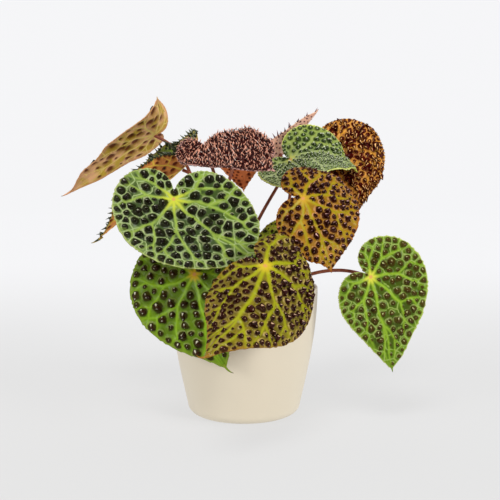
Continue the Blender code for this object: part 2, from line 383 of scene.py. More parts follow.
@dataclass(frozen=True)
class BladeFinish:
    """Waxy leaf skin: bright veins, a fine pale net, dark patches round the cones and a coloured margin."""

    palette: Palette
    rim_width: float = 5.0       # of the margin's colour, mm
    stain: float = 1.25          # reach of the dark colour round a cone, in cone radii
    net_share: float = 0.9       # strength of the net
    vein_share: float = 1.0      # strength of the veins
    glow: float = 7.0            # reach of the hub's colour, mm
    ring_and_highlight: float = 0.8            # strength of the pale ring round each cone, partly a painted highlight
    depth: float = 0.3           # darkness of the skin between the cones of a group
    edge: float = 0.0            # strength of the painted backlight line along the margin
    sheen: float = 0.22          # weight of the waxy coat on the upper side

    UPPER_ROUGHNESS = 0.40
    LOWER_ROUGHNESS = 0.60
    HUB_CORE = (214, 140, 96)    # rosy spot over the petiole
    PAINTED_BACKLIGHT_LINE = (214, 220, 130)

    def build(self, name: str) -> bpy.types.Material:
        """Make the material, which reads the blade's attributes.

        Args:
            name: Material name.

        Returns:
            The material.
        """
        graph = Graph(name)
        side, lit_side = graph.field("side"), graph.field("lit_side")
        disk, rim, hub = graph.field("disk"), graph.field("rim"), graph.field("hub")
        vein, net, tone = graph.field("vein"), graph.field("net"), graph.field("tone")
        broad = graph.noise(0.030, 3.0)
        patch = graph.noise(0.011, 2.0)
        fine = graph.noise(0.0020, 2.0)
        ragged = fine - 0.5
        color = self.palette.by_name()
        rim_share = (rim + (patch - 0.5) * 5.0).step(self.rim_width, 0.3)
        # Skin between the veins: two tissues across the blade, darker in the middle and round the cones
        inner = (vein + (patch - 0.5) * 3.0).step(0.4, 5.0)
        leftward = (graph.field("across") + (broad - 0.5) * 0.8).step(-0.5, 0.6)
        skin = graph.mix(leftward, color["tissue"], color["left"])
        deep = (inner * 0.55).most((disk + ragged * 0.4).step(2.3, 1.0))
        deep = deep.most(net.step(0.8, 3.2) * self.depth)
        skin = graph.mix(deep * vein.step(0.3, 2.2), skin, color["deep"])
        skin = graph.scaled(skin, 0.68 + 0.34 * tone + 0.22 * broad + 0.16 * fine)
        skin = graph.mix(hub.step(self.glow, 2.0) * 0.5, skin, color["hub"])
        skin = graph.mix(rim_share * 0.85, skin, color["rim"])
        # Dark foot of each cone, with a broken pale ring: partly the leaf's own pale ring, partly a painted
        # highlight on the side that faces the light
        blot = disk + ragged * 0.55 + (patch - 0.5) * 0.9
        stain = blot.step(self.stain + 0.25, self.stain - 0.2)
        top = graph.mix(stain * 0.92, skin, color["cone"])
        ring = blot.step(self.stain - 0.15, self.stain + 0.1)
        ring = ring * blot.step(self.stain + 0.7, self.stain + 0.35)
        painted_highlight_share = (patch.step(0.40, 0.62) * lit_side.step(-0.6, 0.5)).most(lit_side.step(0.5, 0.95) * 0.7)
        top = graph.mix(ring * painted_highlight_share * vein.step(0.0, 0.6) * self.ring_and_highlight, top, color["ring"])
        # Net of fine veins, main veins, hub and margin
        lines = (net + ragged * 0.3).step(0.85, 0.2) * patch.step(0.30, 0.45)
        top = graph.mix(lines * self.net_share, top, color["net"])
        vein_share = (vein + ragged * 0.8).step(1.2, -0.7) * (0.35 + 0.65 * rim.step(0.0, 16.0))
        vein_color = graph.mix(hub.step(self.glow * 1.4, 2.0), color["vein"], color["hub"])
        vein_color = graph.scaled(vein_color, 0.80 + 0.4 * broad)
        top = graph.mix(vein_share * self.vein_share, top, vein_color)
        top = graph.mix((hub + ragged).step(2.4, 0.8) * 0.7, top, linear(*self.HUB_CORE))
        # Painted backlight: a pale line along the margin
        if self.edge:
            line = (rim + ragged * 0.8).step(1.3, 0.3) * self.edge
            top = graph.mix(line, top, linear(*self.PAINTED_BACKLIGHT_LINE))
        # Underside: mottled, with a dark hollow under each cone
        low = graph.mix(patch.step(0.35, 0.65), color["under"], color["under_mottle"])
        low = graph.mix(rim_share * 0.8, low, color["rim"])
        low = graph.scaled(low, 0.80 + 0.24 * tone + 0.12 * broad)
        low = graph.mix((disk + ragged * 0.5).step(1.9, 0.9) * 0.45, low, color["pit"])
        low = graph.mix((disk + ragged * 0.3).step(1.2, 0.6) * 0.85, low, color["pit"])
        low = graph.mix((vein + ragged * 0.5).step(0.4, -0.2) * 0.85, low, color["under_vein"])
        graph.bump(fine * 0.5 + graph.noise(0.0009, 2.0) * 0.5, 0.0004)
        smoother = self.LOWER_ROUGHNESS - self.UPPER_ROUGHNESS
        return graph.finish({"Base Color": graph.mix(side.step(0.45, 0.55), low, top),
                             "Roughness": self.LOWER_ROUGHNESS - side * smoother + ragged * 0.16,
                             "Coat Weight": (1.0 - stain * 0.9) * side * self.sheen,
                             "Coat Roughness": 0.25, "Specular IOR Level": 0.06})


@dataclass(frozen=True)
class ConeFinish:
    """Skin of the cones: dark and glossy, with a paler point and a painted highlight streak on the corner
    that faces the light.
    """

    body: Color
    point: Color
    glint_color: Color                 # painted highlight on the corner that faces the light
    change: float = 0.72         # how far up the point's colour starts
    glint_start: float = 0.5           # how near that corner the painted highlight starts, from 0 to 1

    def build(self, name: str) -> bpy.types.Material:
        """Make the material, which reads how far up the cone and how near its painted highlight streak a
        place is.
        """
        graph = Graph(name)
        rise, tone, painted_glint = graph.field("rise"), graph.field("tone"), graph.field("painted_glint")
        body = graph.scaled(linear(*self.body), 0.6 + 0.8 * tone)
        body = graph.mix(rise.step(self.change, self.change + 0.3), body, linear(*self.point))
        # Painted highlight: pale colour along the corner that faces the light
        body = graph.mix(painted_glint.step(self.glint_start, self.glint_start + 0.45), body, linear(*self.glint_color))
        graph.bump(graph.noise(0.0011, 2.0), 0.0002)
        return graph.finish({"Base Color": body, "Roughness": 0.35, "Specular IOR Level": 0.04,
                             "Coat Weight": 0.22, "Coat Roughness": 0.08})


@dataclass(frozen=True)
class StemFinish:
    """Living stem: reddish brown in patches, with a colour of its own at the end."""

    body: Color
    streak: Color
    tip: Color

    def build(self, name: str) -> bpy.types.Material:
        """Make the material, which reads how far along the stem a place is."""
        graph = Graph(name)
        patch = graph.noise(0.004, 4.0, 0.6)
        body = graph.mix(patch.step(0.35, 0.7), linear(*self.body), linear(*self.streak))
        body = graph.mix(graph.field("along").step(0.86, 1.0) * 0.7, body, linear(*self.tip))
        graph.bump(graph.noise(0.0012, 3.0), 0.0003)
        return graph.finish({"Base Color": body, "Roughness": 0.45 + patch * 0.15})


@dataclass(frozen=True)
class PlasticFinish:
    """Satin moulded plastic in a warm cream."""

    body: Color
    shade: Color

    def build(self, name: str) -> bpy.types.Material:
        """Make the material: a faint tone drift and a very fine moulded grain."""
        graph = Graph(name)
        body = graph.mix(graph.noise(0.09, 2.0), linear(*self.body), linear(*self.shade))
        grain = graph.noise(0.0006, 2.0)
        graph.bump(grain, 0.00003)
        return graph.finish({"Base Color": body, "Roughness": 0.40 + grain * 0.08})


@dataclass(frozen=True)
class EarthFinish:
    """Dark potting soil with lighter fibre."""

    body: Color
    fleck: Color

    def build(self, name: str) -> bpy.types.Material:
        """Make the material: clods, dark hollows and pale flecks."""
        graph = Graph(name)
        clod = graph.noise(0.004, 5.0, 0.65)
        fleck = graph.noise(0.0015, 2.0).step(0.62, 0.72)
        earth = graph.scaled(linear(*self.body), 0.4 + 1.2 * clod)
        graph.bump(clod * 0.7 + graph.noise(0.001, 3.0) * 0.3, 0.0015)
        body = graph.mix(fleck * 0.6, earth, linear(*self.fleck))
        return graph.finish({"Base Color": body, "Roughness": 0.93})


# --- Leaves ----------------------------------------------------------------------------------------

@dataclass(frozen=True)
class Relief:
    """Raised pattern of a blade, in millimetres."""

    spacing: float = 8.6         # between cones
    core: float = 0.62           # radius of a cone, as a share of its cell's
    height: float = 3.6          # of a cone above the skin
    foot: float = 1.1            # how far the skin rises under a cone
    puff: float = 0.7            # rise of the skin between the veins
    point: float = 0.26          # radius of a cone at 0.72 of its height, as a share of its foot's
    ribs: float = 1.0            # factor on the widths of the veins
    bare: float = 2.0            # margin without cones
    low: float = 0.4             # height of the cones beside the margin, as a share
    droop: float = 0.0           # how far the cones lean down
    tilt: float = 0.16           # how far they lean at random
    fringe: float = 0.0          # length of the spikes along the margin
    halves: tuple[float, float] = (1.0, 1.0)     # factors on the spacing on the left and on the right
    cluster: float = 1.7         # size of a group of cones that no fine vein divides, in spacings
    sides: int = 7               # of a cone
    seed: int = 1


@dataclass(frozen=True)
class Tail:
    """Thin curled point that runs on from the blade's tip, in millimetres and degrees."""

    length: float = 3.0
    lift: float = 0.0            # upward bend over its length
    turn: float = 0.0            # sideways bend over its length, to the left


@dataclass(frozen=True)
class Cells:
    """Cones on a flat blade: places, the nearest grid points, radii, tones from 0 to 1, and groups."""

    places: Array
    grid: Array
    core: Array
    tone: Array
    group: Array


def bent_line(distances: Array, start_angle: float, onset: float, bend: float,
              length: float) -> tuple[Array, Array, Array]:
    """Where places along a line go when it bends upward.

    The line's angle is start_angle, coming in over the onset, and bend for each length along it; the sums
    of its cosine and sine give the way over and up.

    Args:
        distances: Places along the line.
        start_angle: Fold in degrees.
        onset: Distance over which the fold comes in.
        bend: Curl in degrees for each length.
        length: The blade's length.

    Returns:
        The way over, the way up, and the angle in radians.
    """
    steps = np.linspace(0.0, 1.3 * length, 300)
    angles = math.radians(start_angle) * (1.0 - np.exp(-steps / onset)) + math.radians(bend) * steps / length
    stride = steps[1] - steps[0]
    middle = 0.5 * (angles[1:] + angles[:-1])
    over = np.concatenate(([0.0], np.cumsum(stride * np.cos(middle))))
    up = np.concatenate(([0.0], np.cumsum(stride * np.sin(middle))))
    away = np.abs(distances)
    return np.interp(away, steps, over), np.interp(away, steps, up), np.interp(away, steps, angles)


def nearest_two(places: Array, centres: Array, chunk: int = 4000) -> tuple[Array, Array, Array, Array]:
    """Which centres lie nearest to each place.

    The border with the second nearest centre is (d2^2 - d1^2) / 2 over how far apart the two centres are.

    Args:
        places: Places on the flat blade.
        centres: Centres of the cells.
        chunk: How many places are worked out at a time.

    Returns:
        The nearest centre, the distance to it, the distance to the border of its cell, and the next centre.
    """
    found = []
    for start in range(0, len(places), chunk):
        part = places[start:start + chunk]
        squares = ((part**2).sum(axis=1)[:, None] + (centres**2).sum(axis=1)[None] - 2.0 * part @ centres.T)
        two = np.argpartition(squares, 1, axis=1)[:, :2]
        values = np.take_along_axis(squares, two, axis=1)
        order = np.argsort(values, axis=1)
        two = np.take_along_axis(two, order, axis=1)
        values = np.take_along_axis(values, order, axis=1)
        apart = np.linalg.norm(centres[two[:, 0]] - centres[two[:, 1]], axis=1)
        found.append((two[:, 0], np.sqrt(np.maximum(values[:, 0], 0.0)),
                      (values[:, 1] - values[:, 0]) / (2.0 * apart), two[:, 1]))
    return tuple(np.concatenate(column) for column in zip(*found))


@dataclass(frozen=True)
class Blade:
    """Shape of one blade in the plant. Lengths in millimetres, angles in degrees."""

    name: str
    at: tuple[float, float, float]       # where the petiole joins it
    length: float                        # from there to the tip
    heading: float                       # of the midrib: 0 is +X, 90 is +Y
    pitch: float
    roll: float                          # positive lifts the left side
    notch: float                         # where the notch lies from the midrib
    widths: tuple[float, float]          # factors on the broad and on the narrow side
    fold: tuple[float, float]            # of the left and of the right half, beside the midrib
    curl: tuple[float, float]            # further bend of the halves, over one length
    arch: float                          # bend of the midrib, over one length
    back: float                          # bend of the lobes behind the junction, over one length
    sweep: float                         # sideways bend of the midrib at the tip
    relief: Relief = Relief()
    cells_across: int = 184              # of the square grid that becomes the upper skin
    coarse: int = 2                      # grid cells of the upper skin to one of the lower
    tail: Tail = Tail()

    FOLD_WIDTH = 0.10                    # way from the midrib over which the fold comes in, in lengths
    NOTCH_DEPTH = 0.06                   # least way from the junction to the margin, in lengths
    WIDTH_ONSET = 0.12                   # turn from the tip over which the width factors come in
    THICKNESS = 0.7
    TEETH = 26.0                         # fine teeth on the margin
    BROAD_VEINS = (0.16, 0.36, 0.58, 0.81)               # turns of the main veins on the broad side
    NARROW_VEINS = (0.24, 0.58)                          # and on the narrow side
    TIP_GAP = 0.14                                       # room for the midrib's branches, as a turn
    FORKS = ((0.50, 0.08), (0.78, 0.07), (0.99, 0.0))    # share of the way out where each rank ends, and play
    VEIN_WIDTHS = (1.25, 0.72, 0.5, 0.2)                 # half width where each rank starts, and at the end
    CONE_DEPTH = 0.7                                     # of a cone's foot below the skin
    CONE_RINGS = (0.38, 0.72)                            # heights of a cone's upper rings, as shares
    CONE_WAIST = 0.62                                    # radius of the lower of them, as a share

    @property
    def left_span(self) -> float:
        """Angle from the tip round the left side to the notch."""
        return self.notch % 360.0

    def span(self, turn: Array) -> Array:
        """Angle from the tip to the notch, round the side where each place lies."""
        return np.where(turn >= 0.0, self.left_span, 360.0 - self.left_span)

    def axes(self) -> tuple[Array, Array, Array]:
        """Unit vectors at the junction: along the midrib, to the left, and up."""
        ahead = direction(self.heading, self.pitch)
        level = direction(self.heading + 90.0, 0.0)
        above = np.cross(ahead, level)
        turn = math.radians(self.roll)
        left = level * math.cos(turn) + above * math.sin(turn)
        return ahead, left, np.cross(ahead, left)

    def reach(self, turn: Array) -> Array:
        """Distance from the junction to the margin, for turns from -1 to 1 with the tip at 0.

        The broad side is 0.62 (1 - t^2.6)^0.7 and the narrow side 0.70 (1 - t)^0.75 of the length, with a
        peak at the tip that falls away exponentially, times a width factor that comes in past the tip.
        """
        share = np.abs(turn)
        broad = (turn >= 0.0) == (self.left_span > 180.0)
        peak = np.where(broad, 0.38 * np.exp(-((share / 0.095) ** 1.15)),
                        0.30 * np.exp(-((share / 0.09) ** 1.2)))
        body = np.where(broad, 0.62 * (1.0 - share**2.6) ** 0.7, 0.70 * (1.0 - share) ** 0.75)
        factor = np.where(broad, self.widths[0], self.widths[1])
        widening = 1.0 + (factor - 1.0) * (1.0 - np.exp(-((share / self.WIDTH_ONSET) ** 2)))
        return self.length * np.sqrt(((body + peak) * widening) ** 2 + self.NOTCH_DEPTH**2)

    def flat(self, radius: Array, turn: Array) -> Array:
        """Places on the flat blade, ahead and left of the junction, from shares of the way out and round."""
        angle = np.radians(turn * self.span(turn))
        far = self.reach(turn) * radius
        return np.stack((far * np.cos(angle), far * np.sin(angle)), axis=-1)

    def bend(self, flat: Array) -> tuple[Array, Array]:
        """Put places on the flat blade in the plant.

        The halves fold and curl about the midrib, and the midrib then bends along its own length.

        Args:
            flat: Distances ahead and to the left of the junction.

        Returns:
            The places in metres, and the upper side's unit normals.
        """
        ahead, left = flat[..., 0], flat[..., 1]
        sideways = left + 0.5 * math.tan(math.radians(self.sweep)) * np.maximum(ahead, 0.0) ** 2 / self.length
        onset = self.FOLD_WIDTH * self.length
        halves = [bent_line(sideways, self.fold[i], onset, self.curl[i], self.length) for i in (0, 1)]
        sign = np.where(sideways >= 0.0, 1.0, -1.0)
        across, lifted, slope = (np.where(sign > 0.0, halves[0][i], halves[1][i]) for i in range(3))
        front = bent_line(ahead, 0.0, onset, self.arch, self.length)
        rear = bent_line(ahead, 0.0, onset, self.back, self.length)
        onward = ahead >= 0.0
        forward = np.where(onward, front[0], -rear[0])
        height = np.where(onward, front[1], rear[1])
        tilt = np.where(onward, front[2], -rear[2])
        e_ahead, e_left, e_up = self.axes()
        spine = -np.sin(tilt)[..., None] * e_ahead + np.cos(tilt)[..., None] * e_up
        places = forward[..., None] * e_ahead + height[..., None] * e_up
        places = places + (sign * across)[..., None] * e_left + lifted[..., None] * spine
        normals = np.cos(slope)[..., None] * spine - (sign * np.sin(slope))[..., None] * e_left
        return (np.array(self.at) + places) * MM, unit(normals)

    def veins(self) -> list[tuple[Array, Array, float, float]]:
        """Straight stretches of vein, each with its two ends and its half width at either.

        Main veins run out from the junction, fork in two at about half way, and each branch forks again.
        """
        draw = np.random.default_rng(self.relief.seed + 90)
        found: list[tuple[Array, Array, float, float]] = []

        def grow(share: float, start: float, drift: float, spread: float, rank: int) -> None:
            """Add one stretch and its two branches, which drift apart by the spread."""
            ends = [out + (draw.uniform(-play, play) if play else 0.0) for out, play in self.FORKS]
            onward = share + drift * draw.uniform(0.75, 1.2)
            ring = self.flat(np.array((start, ends[rank])), np.array((share, onward)))
            found.append((ring[0], ring[1], self.relief.ribs * self.VEIN_WIDTHS[rank],
                          self.relief.ribs * self.VEIN_WIDTHS[rank + 1]))
            if rank < 2:
                for side in (-1.0, 1.0):
                    grow(onward, ends[rank], side * spread, 0.62 * spread, rank + 1)

        for side in (1.0, -1.0):
            broad = (side > 0.0) == (self.left_span > 180.0)
            shares = self.BROAD_VEINS if broad else self.NARROW_VEINS
            spread = 0.27 * (shares[1] - shares[0])
            for share in shares:
                grow(side * share, 0.0, draw.uniform(-0.03, 0.03), spread, 0)
        grow(0.0, 0.0, 0.0, 0.27 * self.TIP_GAP, 0)
        tip = self.flat(np.array((0.45, 0.98)), np.zeros(2))
        found.append((tip[0], tip[1], 0.75, 0.25))
        return found

    def vein_distance(self, flat: Array) -> Array:
        """Distance from places on the flat blade to the nearest vein's edge, negative inside it.

        Each place is carried to the nearest point of each straight stretch, and the stretch's half width
        there is taken off the distance.

        Args:
            flat: Places on the flat blade.

        Returns:
            One distance for each place.
        """
        nearest = np.full(len(flat), 99.0)
        for start, end, wide, slim in self.veins():
            run = end - start
            share = np.clip(((flat - start) @ run) / (run @ run), 0.0, 1.0)
            away = np.linalg.norm(flat - start - share[:, None] * run, axis=1)
            nearest = np.minimum(nearest, away - (wide + (slim - wide) * share))
        return nearest

    def scatter(self, flat: Array, rim: Array, vein: Array, draw: np.random.Generator) -> Array:
        """Random places for cones, which keep their distance from each other, the veins and the margin.

        Args:
            flat: Places of the grid points on the flat blade.
            rim: Their distances to the margin.
            vein: Their distances to the nearest vein.
            draw: Random draws.

        Returns:
            The places that were kept.
        """
        relief = self.relief
        spacing = relief.spacing * (0.72 + 0.28 * smooth_step(2.0, 16.0, rim))
        spacing = spacing * (1.0 + 0.22 * waves(flat, 26.0, relief.seed + 7))
        spacing = spacing * np.where(flat[:, 1] > 0.0, *relief.halves)
        clear = (vein > 0.20 * spacing) & (rim > relief.bare) & (np.linalg.norm(flat, axis=1) > 3.0)
        tries = int(60.0 * (110.0 / relief.spacing) ** 2)
        kept: list[int] = []
        taken = np.empty((0, 2))
        for index in draw.permutation(np.nonzero(clear)[0])[:tries]:
            squares = ((taken - flat[index]) ** 2).sum(axis=1)
            if not len(taken) or np.min(squares) > (0.80 * spacing[index]) ** 2:
                kept.append(int(index))
                taken = flat[kept]
        return taken

    def cells(self, flat: Array, radius: Array, turn: Array, vein: Array) -> Cells:
        """Places of the cones.

        Random places that keep their distance, then evened out: each moves twice towards the middle of the
        grid points that lie nearest to it. A cone's radius is a share of its cell's, and stays off the veins.

        Args:
            flat: Places of the grid points on the flat blade.
            radius: Their shares of the way out.
            turn: Their shares of the way round.
            vein: Their distances to the nearest vein.

        Returns:
            The cones.
        """
        relief = self.relief
        draw = np.random.default_rng(relief.seed)
        rim = self.reach(turn) * (1.0 - radius)
        centres = self.scatter(flat, rim, vein, draw)
        inside = vein > 0.0
        for _ in range(2):
            nearest = nearest_two(flat[inside], centres)[0]
            count = np.maximum(np.bincount(nearest, minlength=len(centres)), 1)
            middle = np.stack([np.bincount(nearest, weights=flat[inside, i], minlength=len(centres)) / count
                               for i in (0, 1)], axis=-1)
            centres = 0.45 * centres + 0.55 * middle
        # Each grid point's area gives the size of the cell that it lies in
        nearest = nearest_two(flat[inside], centres)[0]
        around = math.pi * (turn + 0.25)
        area = 4.0 / math.pi * self.reach(turn) ** 2 * np.radians(self.span(turn)) / len(flat)
        area = area * np.maximum(np.cos(around) ** 2, np.sin(around) ** 2)
        size = np.sqrt(np.bincount(nearest, weights=area[inside], minlength=len(centres)) / math.pi)
        grid = np.array([np.argmin(((flat - centre) ** 2).sum(axis=1)) for centre in centres])
        core = np.minimum(relief.core * size, 0.40 * relief.spacing) * draw.uniform(0.66, 1.2, len(size))
        core = np.minimum(core, 0.9 * vein[grid] + 0.25)
        live = core > 0.11 * relief.spacing
        centres, grid, core = centres[live], grid[live], core[live]
        # Groups share the nearest of a few cones, and a cone near the margin is a group of its own
        seeds = centres[draw.permutation(len(centres))[: int(len(centres) / relief.cluster**2)]]
        own = len(centres) + np.arange(len(centres))
        group = np.where(rim[grid] < 8.0, own, nearest_two(centres, seeds)[0])
        tone = 0.5 + 0.45 * waves(centres, 9.0, relief.seed + 60) + draw.uniform(-0.3, 0.3, len(centres))
        return Cells(centres, grid, core, np.clip(tone, 0.0, 1.0), group)

    def build(self) -> tuple[Shape, Shape]:
        """Work out the blade's two skins with their relief, and the cones on it.

        A square grid drawn out to a disc carries the skins: the tip is at one corner, the notch opposite.

        Returns:
            The blade and its cones.
        """
        relief = self.relief
        steps = np.linspace(-1.0, 1.0, self.cells_across + 1)
        u, v = (axis.reshape(-1) for axis in np.meshgrid(steps, steps, indexing="ij"))
        radius = np.maximum(np.abs(u), np.abs(v))
        turn = np.arctan2(v - u, v + u) / math.pi
        margin = self.reach(turn)
        rim = margin * (1.0 - radius)
        flat = self.flat(radius, turn)
        teeth = np.abs((self.TEETH * turn + 0.8 * waves(turn[:, None], 0.12, 5)) % 1.0 - 0.3) - 0.3
        flat = flat * (1.0 + 1.5 * teeth * radius**30 / np.maximum(margin, 8.0))[:, None]
        hub = np.linalg.norm(flat, axis=1)
        # Veins and cells, both a little crooked
        drift = self.crook(flat, 1.6, 34.0, 41) * smooth_step(4.0, 20.0, hub)[:, None]
        vein = self.vein_distance(flat + drift)
        cells = self.cells(flat, radius, turn, vein)
        warp = self.crook(flat, 0.9, 14.0, 31) * smooth_step(0.0, 6.0, vein)[:, None]
        nearest, away, border, other = nearest_two(flat + warp, cells.places)
        edge = np.minimum(np.minimum(border, np.maximum(vein, 0.0) + 0.05), rim + 0.3)
        net = np.where(cells.group[nearest] == cells.group[other], 9.0, border)
        disk = away / cells.core[nearest]
        # Relief: the skin puffs up between the veins, rises under each cone and along the veins, and swells
        scale = cells.core[nearest] / (0.30 * relief.spacing)
        top = relief.puff * (1.0 - (away / (away + edge + 1e-6)) ** 2) * scale
        top = top + relief.foot * scale * (1.0 - smooth_step(0.5, 1.7, disk))
        top = top + 0.45 * np.exp(-((np.maximum(vein, 0.0) / 0.8) ** 2)) * smooth_step(0.0, 4.0, rim)
        swell = 1.1 * waves(flat, 40.0, relief.seed + 3) * smooth_step(0.25, 1.0, radius)
        base, normal = self.bend(flat)
        # Which way each point lies from its cone's middle, against a fixed light direction: it places the
        # painted highlight on the rings
        lit_side = unit(base - self.bend(cells.places)[0][nearest]) @ unit(np.array((-0.5, -0.3, 1.0)))
        upper = base + normal * ((top + swell + 0.5 * self.THICKNESS) * MM)[:, None]
        lower = base + normal * ((0.7 * top + swell - 0.5 * self.THICKNESS) * MM)[:, None]
        # The lower skin keeps every second point, or all
        count = self.cells_across + 1
        sparse = np.arange(count * count).reshape(count, count)[:: self.coarse, :: self.coarse]
        few = sparse.reshape(-1)
        fields = {"disk": disk, "net": net, "vein": vein, "rim": rim, "hub": hub, "tone": cells.tone[nearest],
                  "across": flat[:, 1] / (0.5 * self.length), "lit_side": lit_side}
        fields = {key: np.concatenate((values, values[few])) for key, values in fields.items()}
        fields["side"] = np.concatenate((np.ones(len(base)), np.zeros(len(few))))
        quads = np.vstack((grid_quads(count, count), grid_quads(*sparse.shape, len(base))[:, ::-1]))
        skin = Shape(np.vstack((upper, lower[few])), quads, self.rim_faces(count, len(sparse)), fields)
        return skin, self.cones(cells, (top + swell)[cells.grid], rim[cells.grid])

    def crook(self, flat: Array, amount: float, size: float, seed: int) -> Array:
        """Smooth random shifts of places on the flat blade, along both of its axes."""
        seed += self.relief.seed
        return amount * np.stack((waves(flat, size, seed), waves(flat, size, seed + 1)), axis=-1)

    def rim_faces(self, count: int, few: int) -> Array:
        """Triangles that join the margins of the two skins.

        Args:
            count: Points along a side of the upper grid.
            few: Points along a side of the lower grid.

        Returns:
            Three point numbers for each triangle.
        """
        def loop(side: int, start: int) -> Array:
            """Numbers of the grid's outer points in order."""
            line = np.arange(side - 1)
            last = side - 1
            return start + np.concatenate((line * side, last * side + line, (last - line) * side + last,
                                           last - line))

        high, low = loop(count, 0), loop(few, count * count)
        after = np.roll(low, -1)
        first, second = high[:: self.coarse], np.roll(high, -self.coarse)[:: self.coarse]
        middle = np.roll(high, -1)[:: self.coarse]
        strips = [(second, middle, after)] if self.coarse > 1 else []
        return np.vstack([np.stack(strip, axis=-1) for strip in
                          ((middle, first, low), *strips, (middle, low, after))])

    def cones(self, cells: Cells, level: Array, rim: Array) -> Shape:
        """Pointed cones: rings that narrow to a tip, closed below.

        The foot ring lies in the skin, and the two rings above it have the waist's and the point's share of
        its radius. Each cone leans a little at random, and those near the margin are low. A fringe of
        spikes may point outward along the margin.

        Args:
            cells: The cones' places.
            level: Height of the skin at each.
            rim: Distance of each to the margin.

        Returns:
            All the cones in one mesh.
        """
        relief = self.relief
        draw = np.random.default_rng(relief.seed + 50)
        base, normal = self.bend(cells.places)
        scale = cells.core / (0.30 * relief.spacing)
        rise = relief.height * scale**0.8 * draw.uniform(0.85, 1.15, len(level))
        rise = self.CONE_DEPTH + rise * (relief.low + (1.0 - relief.low) * smooth_step(2.0, 12.0, rim))
        root = base + normal * ((level - self.CONE_DEPTH) * MM)[:, None]
        core, tone = cells.core, cells.tone
        if relief.fringe:
            turn = np.linspace(-0.97, 0.97, int(5.0 * self.length / relief.fringe))
            ends, across = self.bend(self.flat(0.985 + 0.0 * turn, turn))
            outward = unit(ends - self.bend(self.flat(0.9 + 0.0 * turn, turn))[0])
            root, normal = np.vstack((root, ends)), np.vstack((normal, outward + 0.5 * across))
            rise = np.append(rise, relief.fringe * draw.uniform(0.5, 1.15, len(turn)))
            core = np.append(core, 0.19 * relief.fringe * draw.uniform(0.8, 1.2, len(turn)))
            tone = np.append(tone, draw.uniform(0.0, 1.0, len(turn)))
        count, sides = len(rise), relief.sides
        lean = unit(normal + relief.tilt * draw.normal(size=normal.shape) - (0.0, 0.0, relief.droop))
        helper = unit(np.cross(lean, np.array((0.3, 0.8, 0.5))))
        other = np.cross(lean, helper)
        turns = np.linspace(0.0, 2.0 * math.pi, sides, endpoint=False)
        ring = np.cos(turns)[None, :, None] * helper[:, None] + np.sin(turns)[None, :, None] * other[:, None]
        # Uneven corners on an oval foot
        uneven = 1.0 + 0.21 * draw.normal(size=(count, sides, 1))
        squash = draw.uniform(-0.4, 0.4, (count, 1, 1))
        phase = draw.uniform(0.0, 3.1, (count, 1))
        uneven = uneven * (1.0 + squash * np.cos(2.0 * (turns[None] + phase))[..., None])
        rings = []
        for high, wide in zip((0.0, *self.CONE_RINGS), (1.0, self.CONE_WAIST, relief.point)):
            size = (wide * core * MM)[:, None, None] * uneven
            rings.append(root[:, None] + ring * size + (lean * (high * rise * MM)[:, None])[:, None])
        tip = (root + lean * (rise * MM)[:, None])[:, None]
        points = np.concatenate((*rings, tip, root[:, None]), axis=1)
        each = points.shape[1]
        around = np.arange(sides)
        after = np.roll(around, -1)
        faces = [fan(3 * sides + 1, around)[:, (2, 1, 0)], fan(3 * sides, around + 2 * sides)[:, (1, 2, 0)]]
        for low in (0, sides):
            faces.append(np.stack((around, after, after + sides), axis=-1) + low)
            faces.append(np.stack((around, after + sides, around + sides), axis=-1) + low)
        triangles = (np.vstack(faces)[None] + each * np.arange(count)[:, None, None]).reshape(-1, 3)
        heights = np.concatenate((np.repeat((0.0, *self.CONE_RINGS), sides), (1.0, 0.0)))
        # Painted highlight streak: the corner that faces the light, and the one behind
        bright = np.argmax(ring @ np.array((-0.5, -0.4, 1.0)), axis=1)
        every = np.arange(count)
        painted_glint = np.zeros((count, each))
        painted_glint[every, sides + bright] = 1.0
        painted_glint[every, 2 * sides + bright] = 0.8
        painted_glint[every, sides + (bright + sides // 2) % sides] = 0.75
        return Shape(points.reshape(-1, 3), triangles=triangles,
                     fields={"rise": np.tile(heights, count), "tone": np.repeat(tone, each),
                             "painted_glint": painted_glint.reshape(-1)})

    def point(self, count: int = 18) -> Shape:
        """The thin point that runs on from the tip.

        Its middle line starts a little inside the tip, along the midrib, and turns evenly upward and
        sideways; it gets thinner all the way.

        Args:
            count: Number of points along it.

        Returns:
            The point, with the fields of a cone.
        """
        ends, normals = self.bend(np.array(((0.93, 0.0), (0.955, 0.0))) * self.length)
        run = unit(ends[1] - ends[0])
        up = normals[1]
        left = np.cross(up, run)
        share = np.linspace(0.0, 1.0, count)
        lift, turn = np.radians(self.tail.lift) * share**1.3, np.radians(self.tail.turn) * share**1.3
        heading = (np.cos(turn) * np.cos(lift))[:, None] * run + np.sin(lift)[:, None] * up
        heading = unit(heading + (np.sin(turn) * np.cos(lift))[:, None] * left)
        length = (self.tail.length + 0.045 * self.length) * MM
        path = ends[1] + np.vstack((np.zeros(3), np.cumsum(heading[:-1] * length / (count - 1), axis=0)))
        thin = tube(path, (1.15 * (1.0 - share) ** 0.8 + 0.16) * MM, 8)
        rise = thin.fields["along"]
        fields = {"rise": rise, "tone": np.full_like(rise, 0.5), "painted_glint": np.zeros_like(rise)}
        return replace(thin, fields=fields)


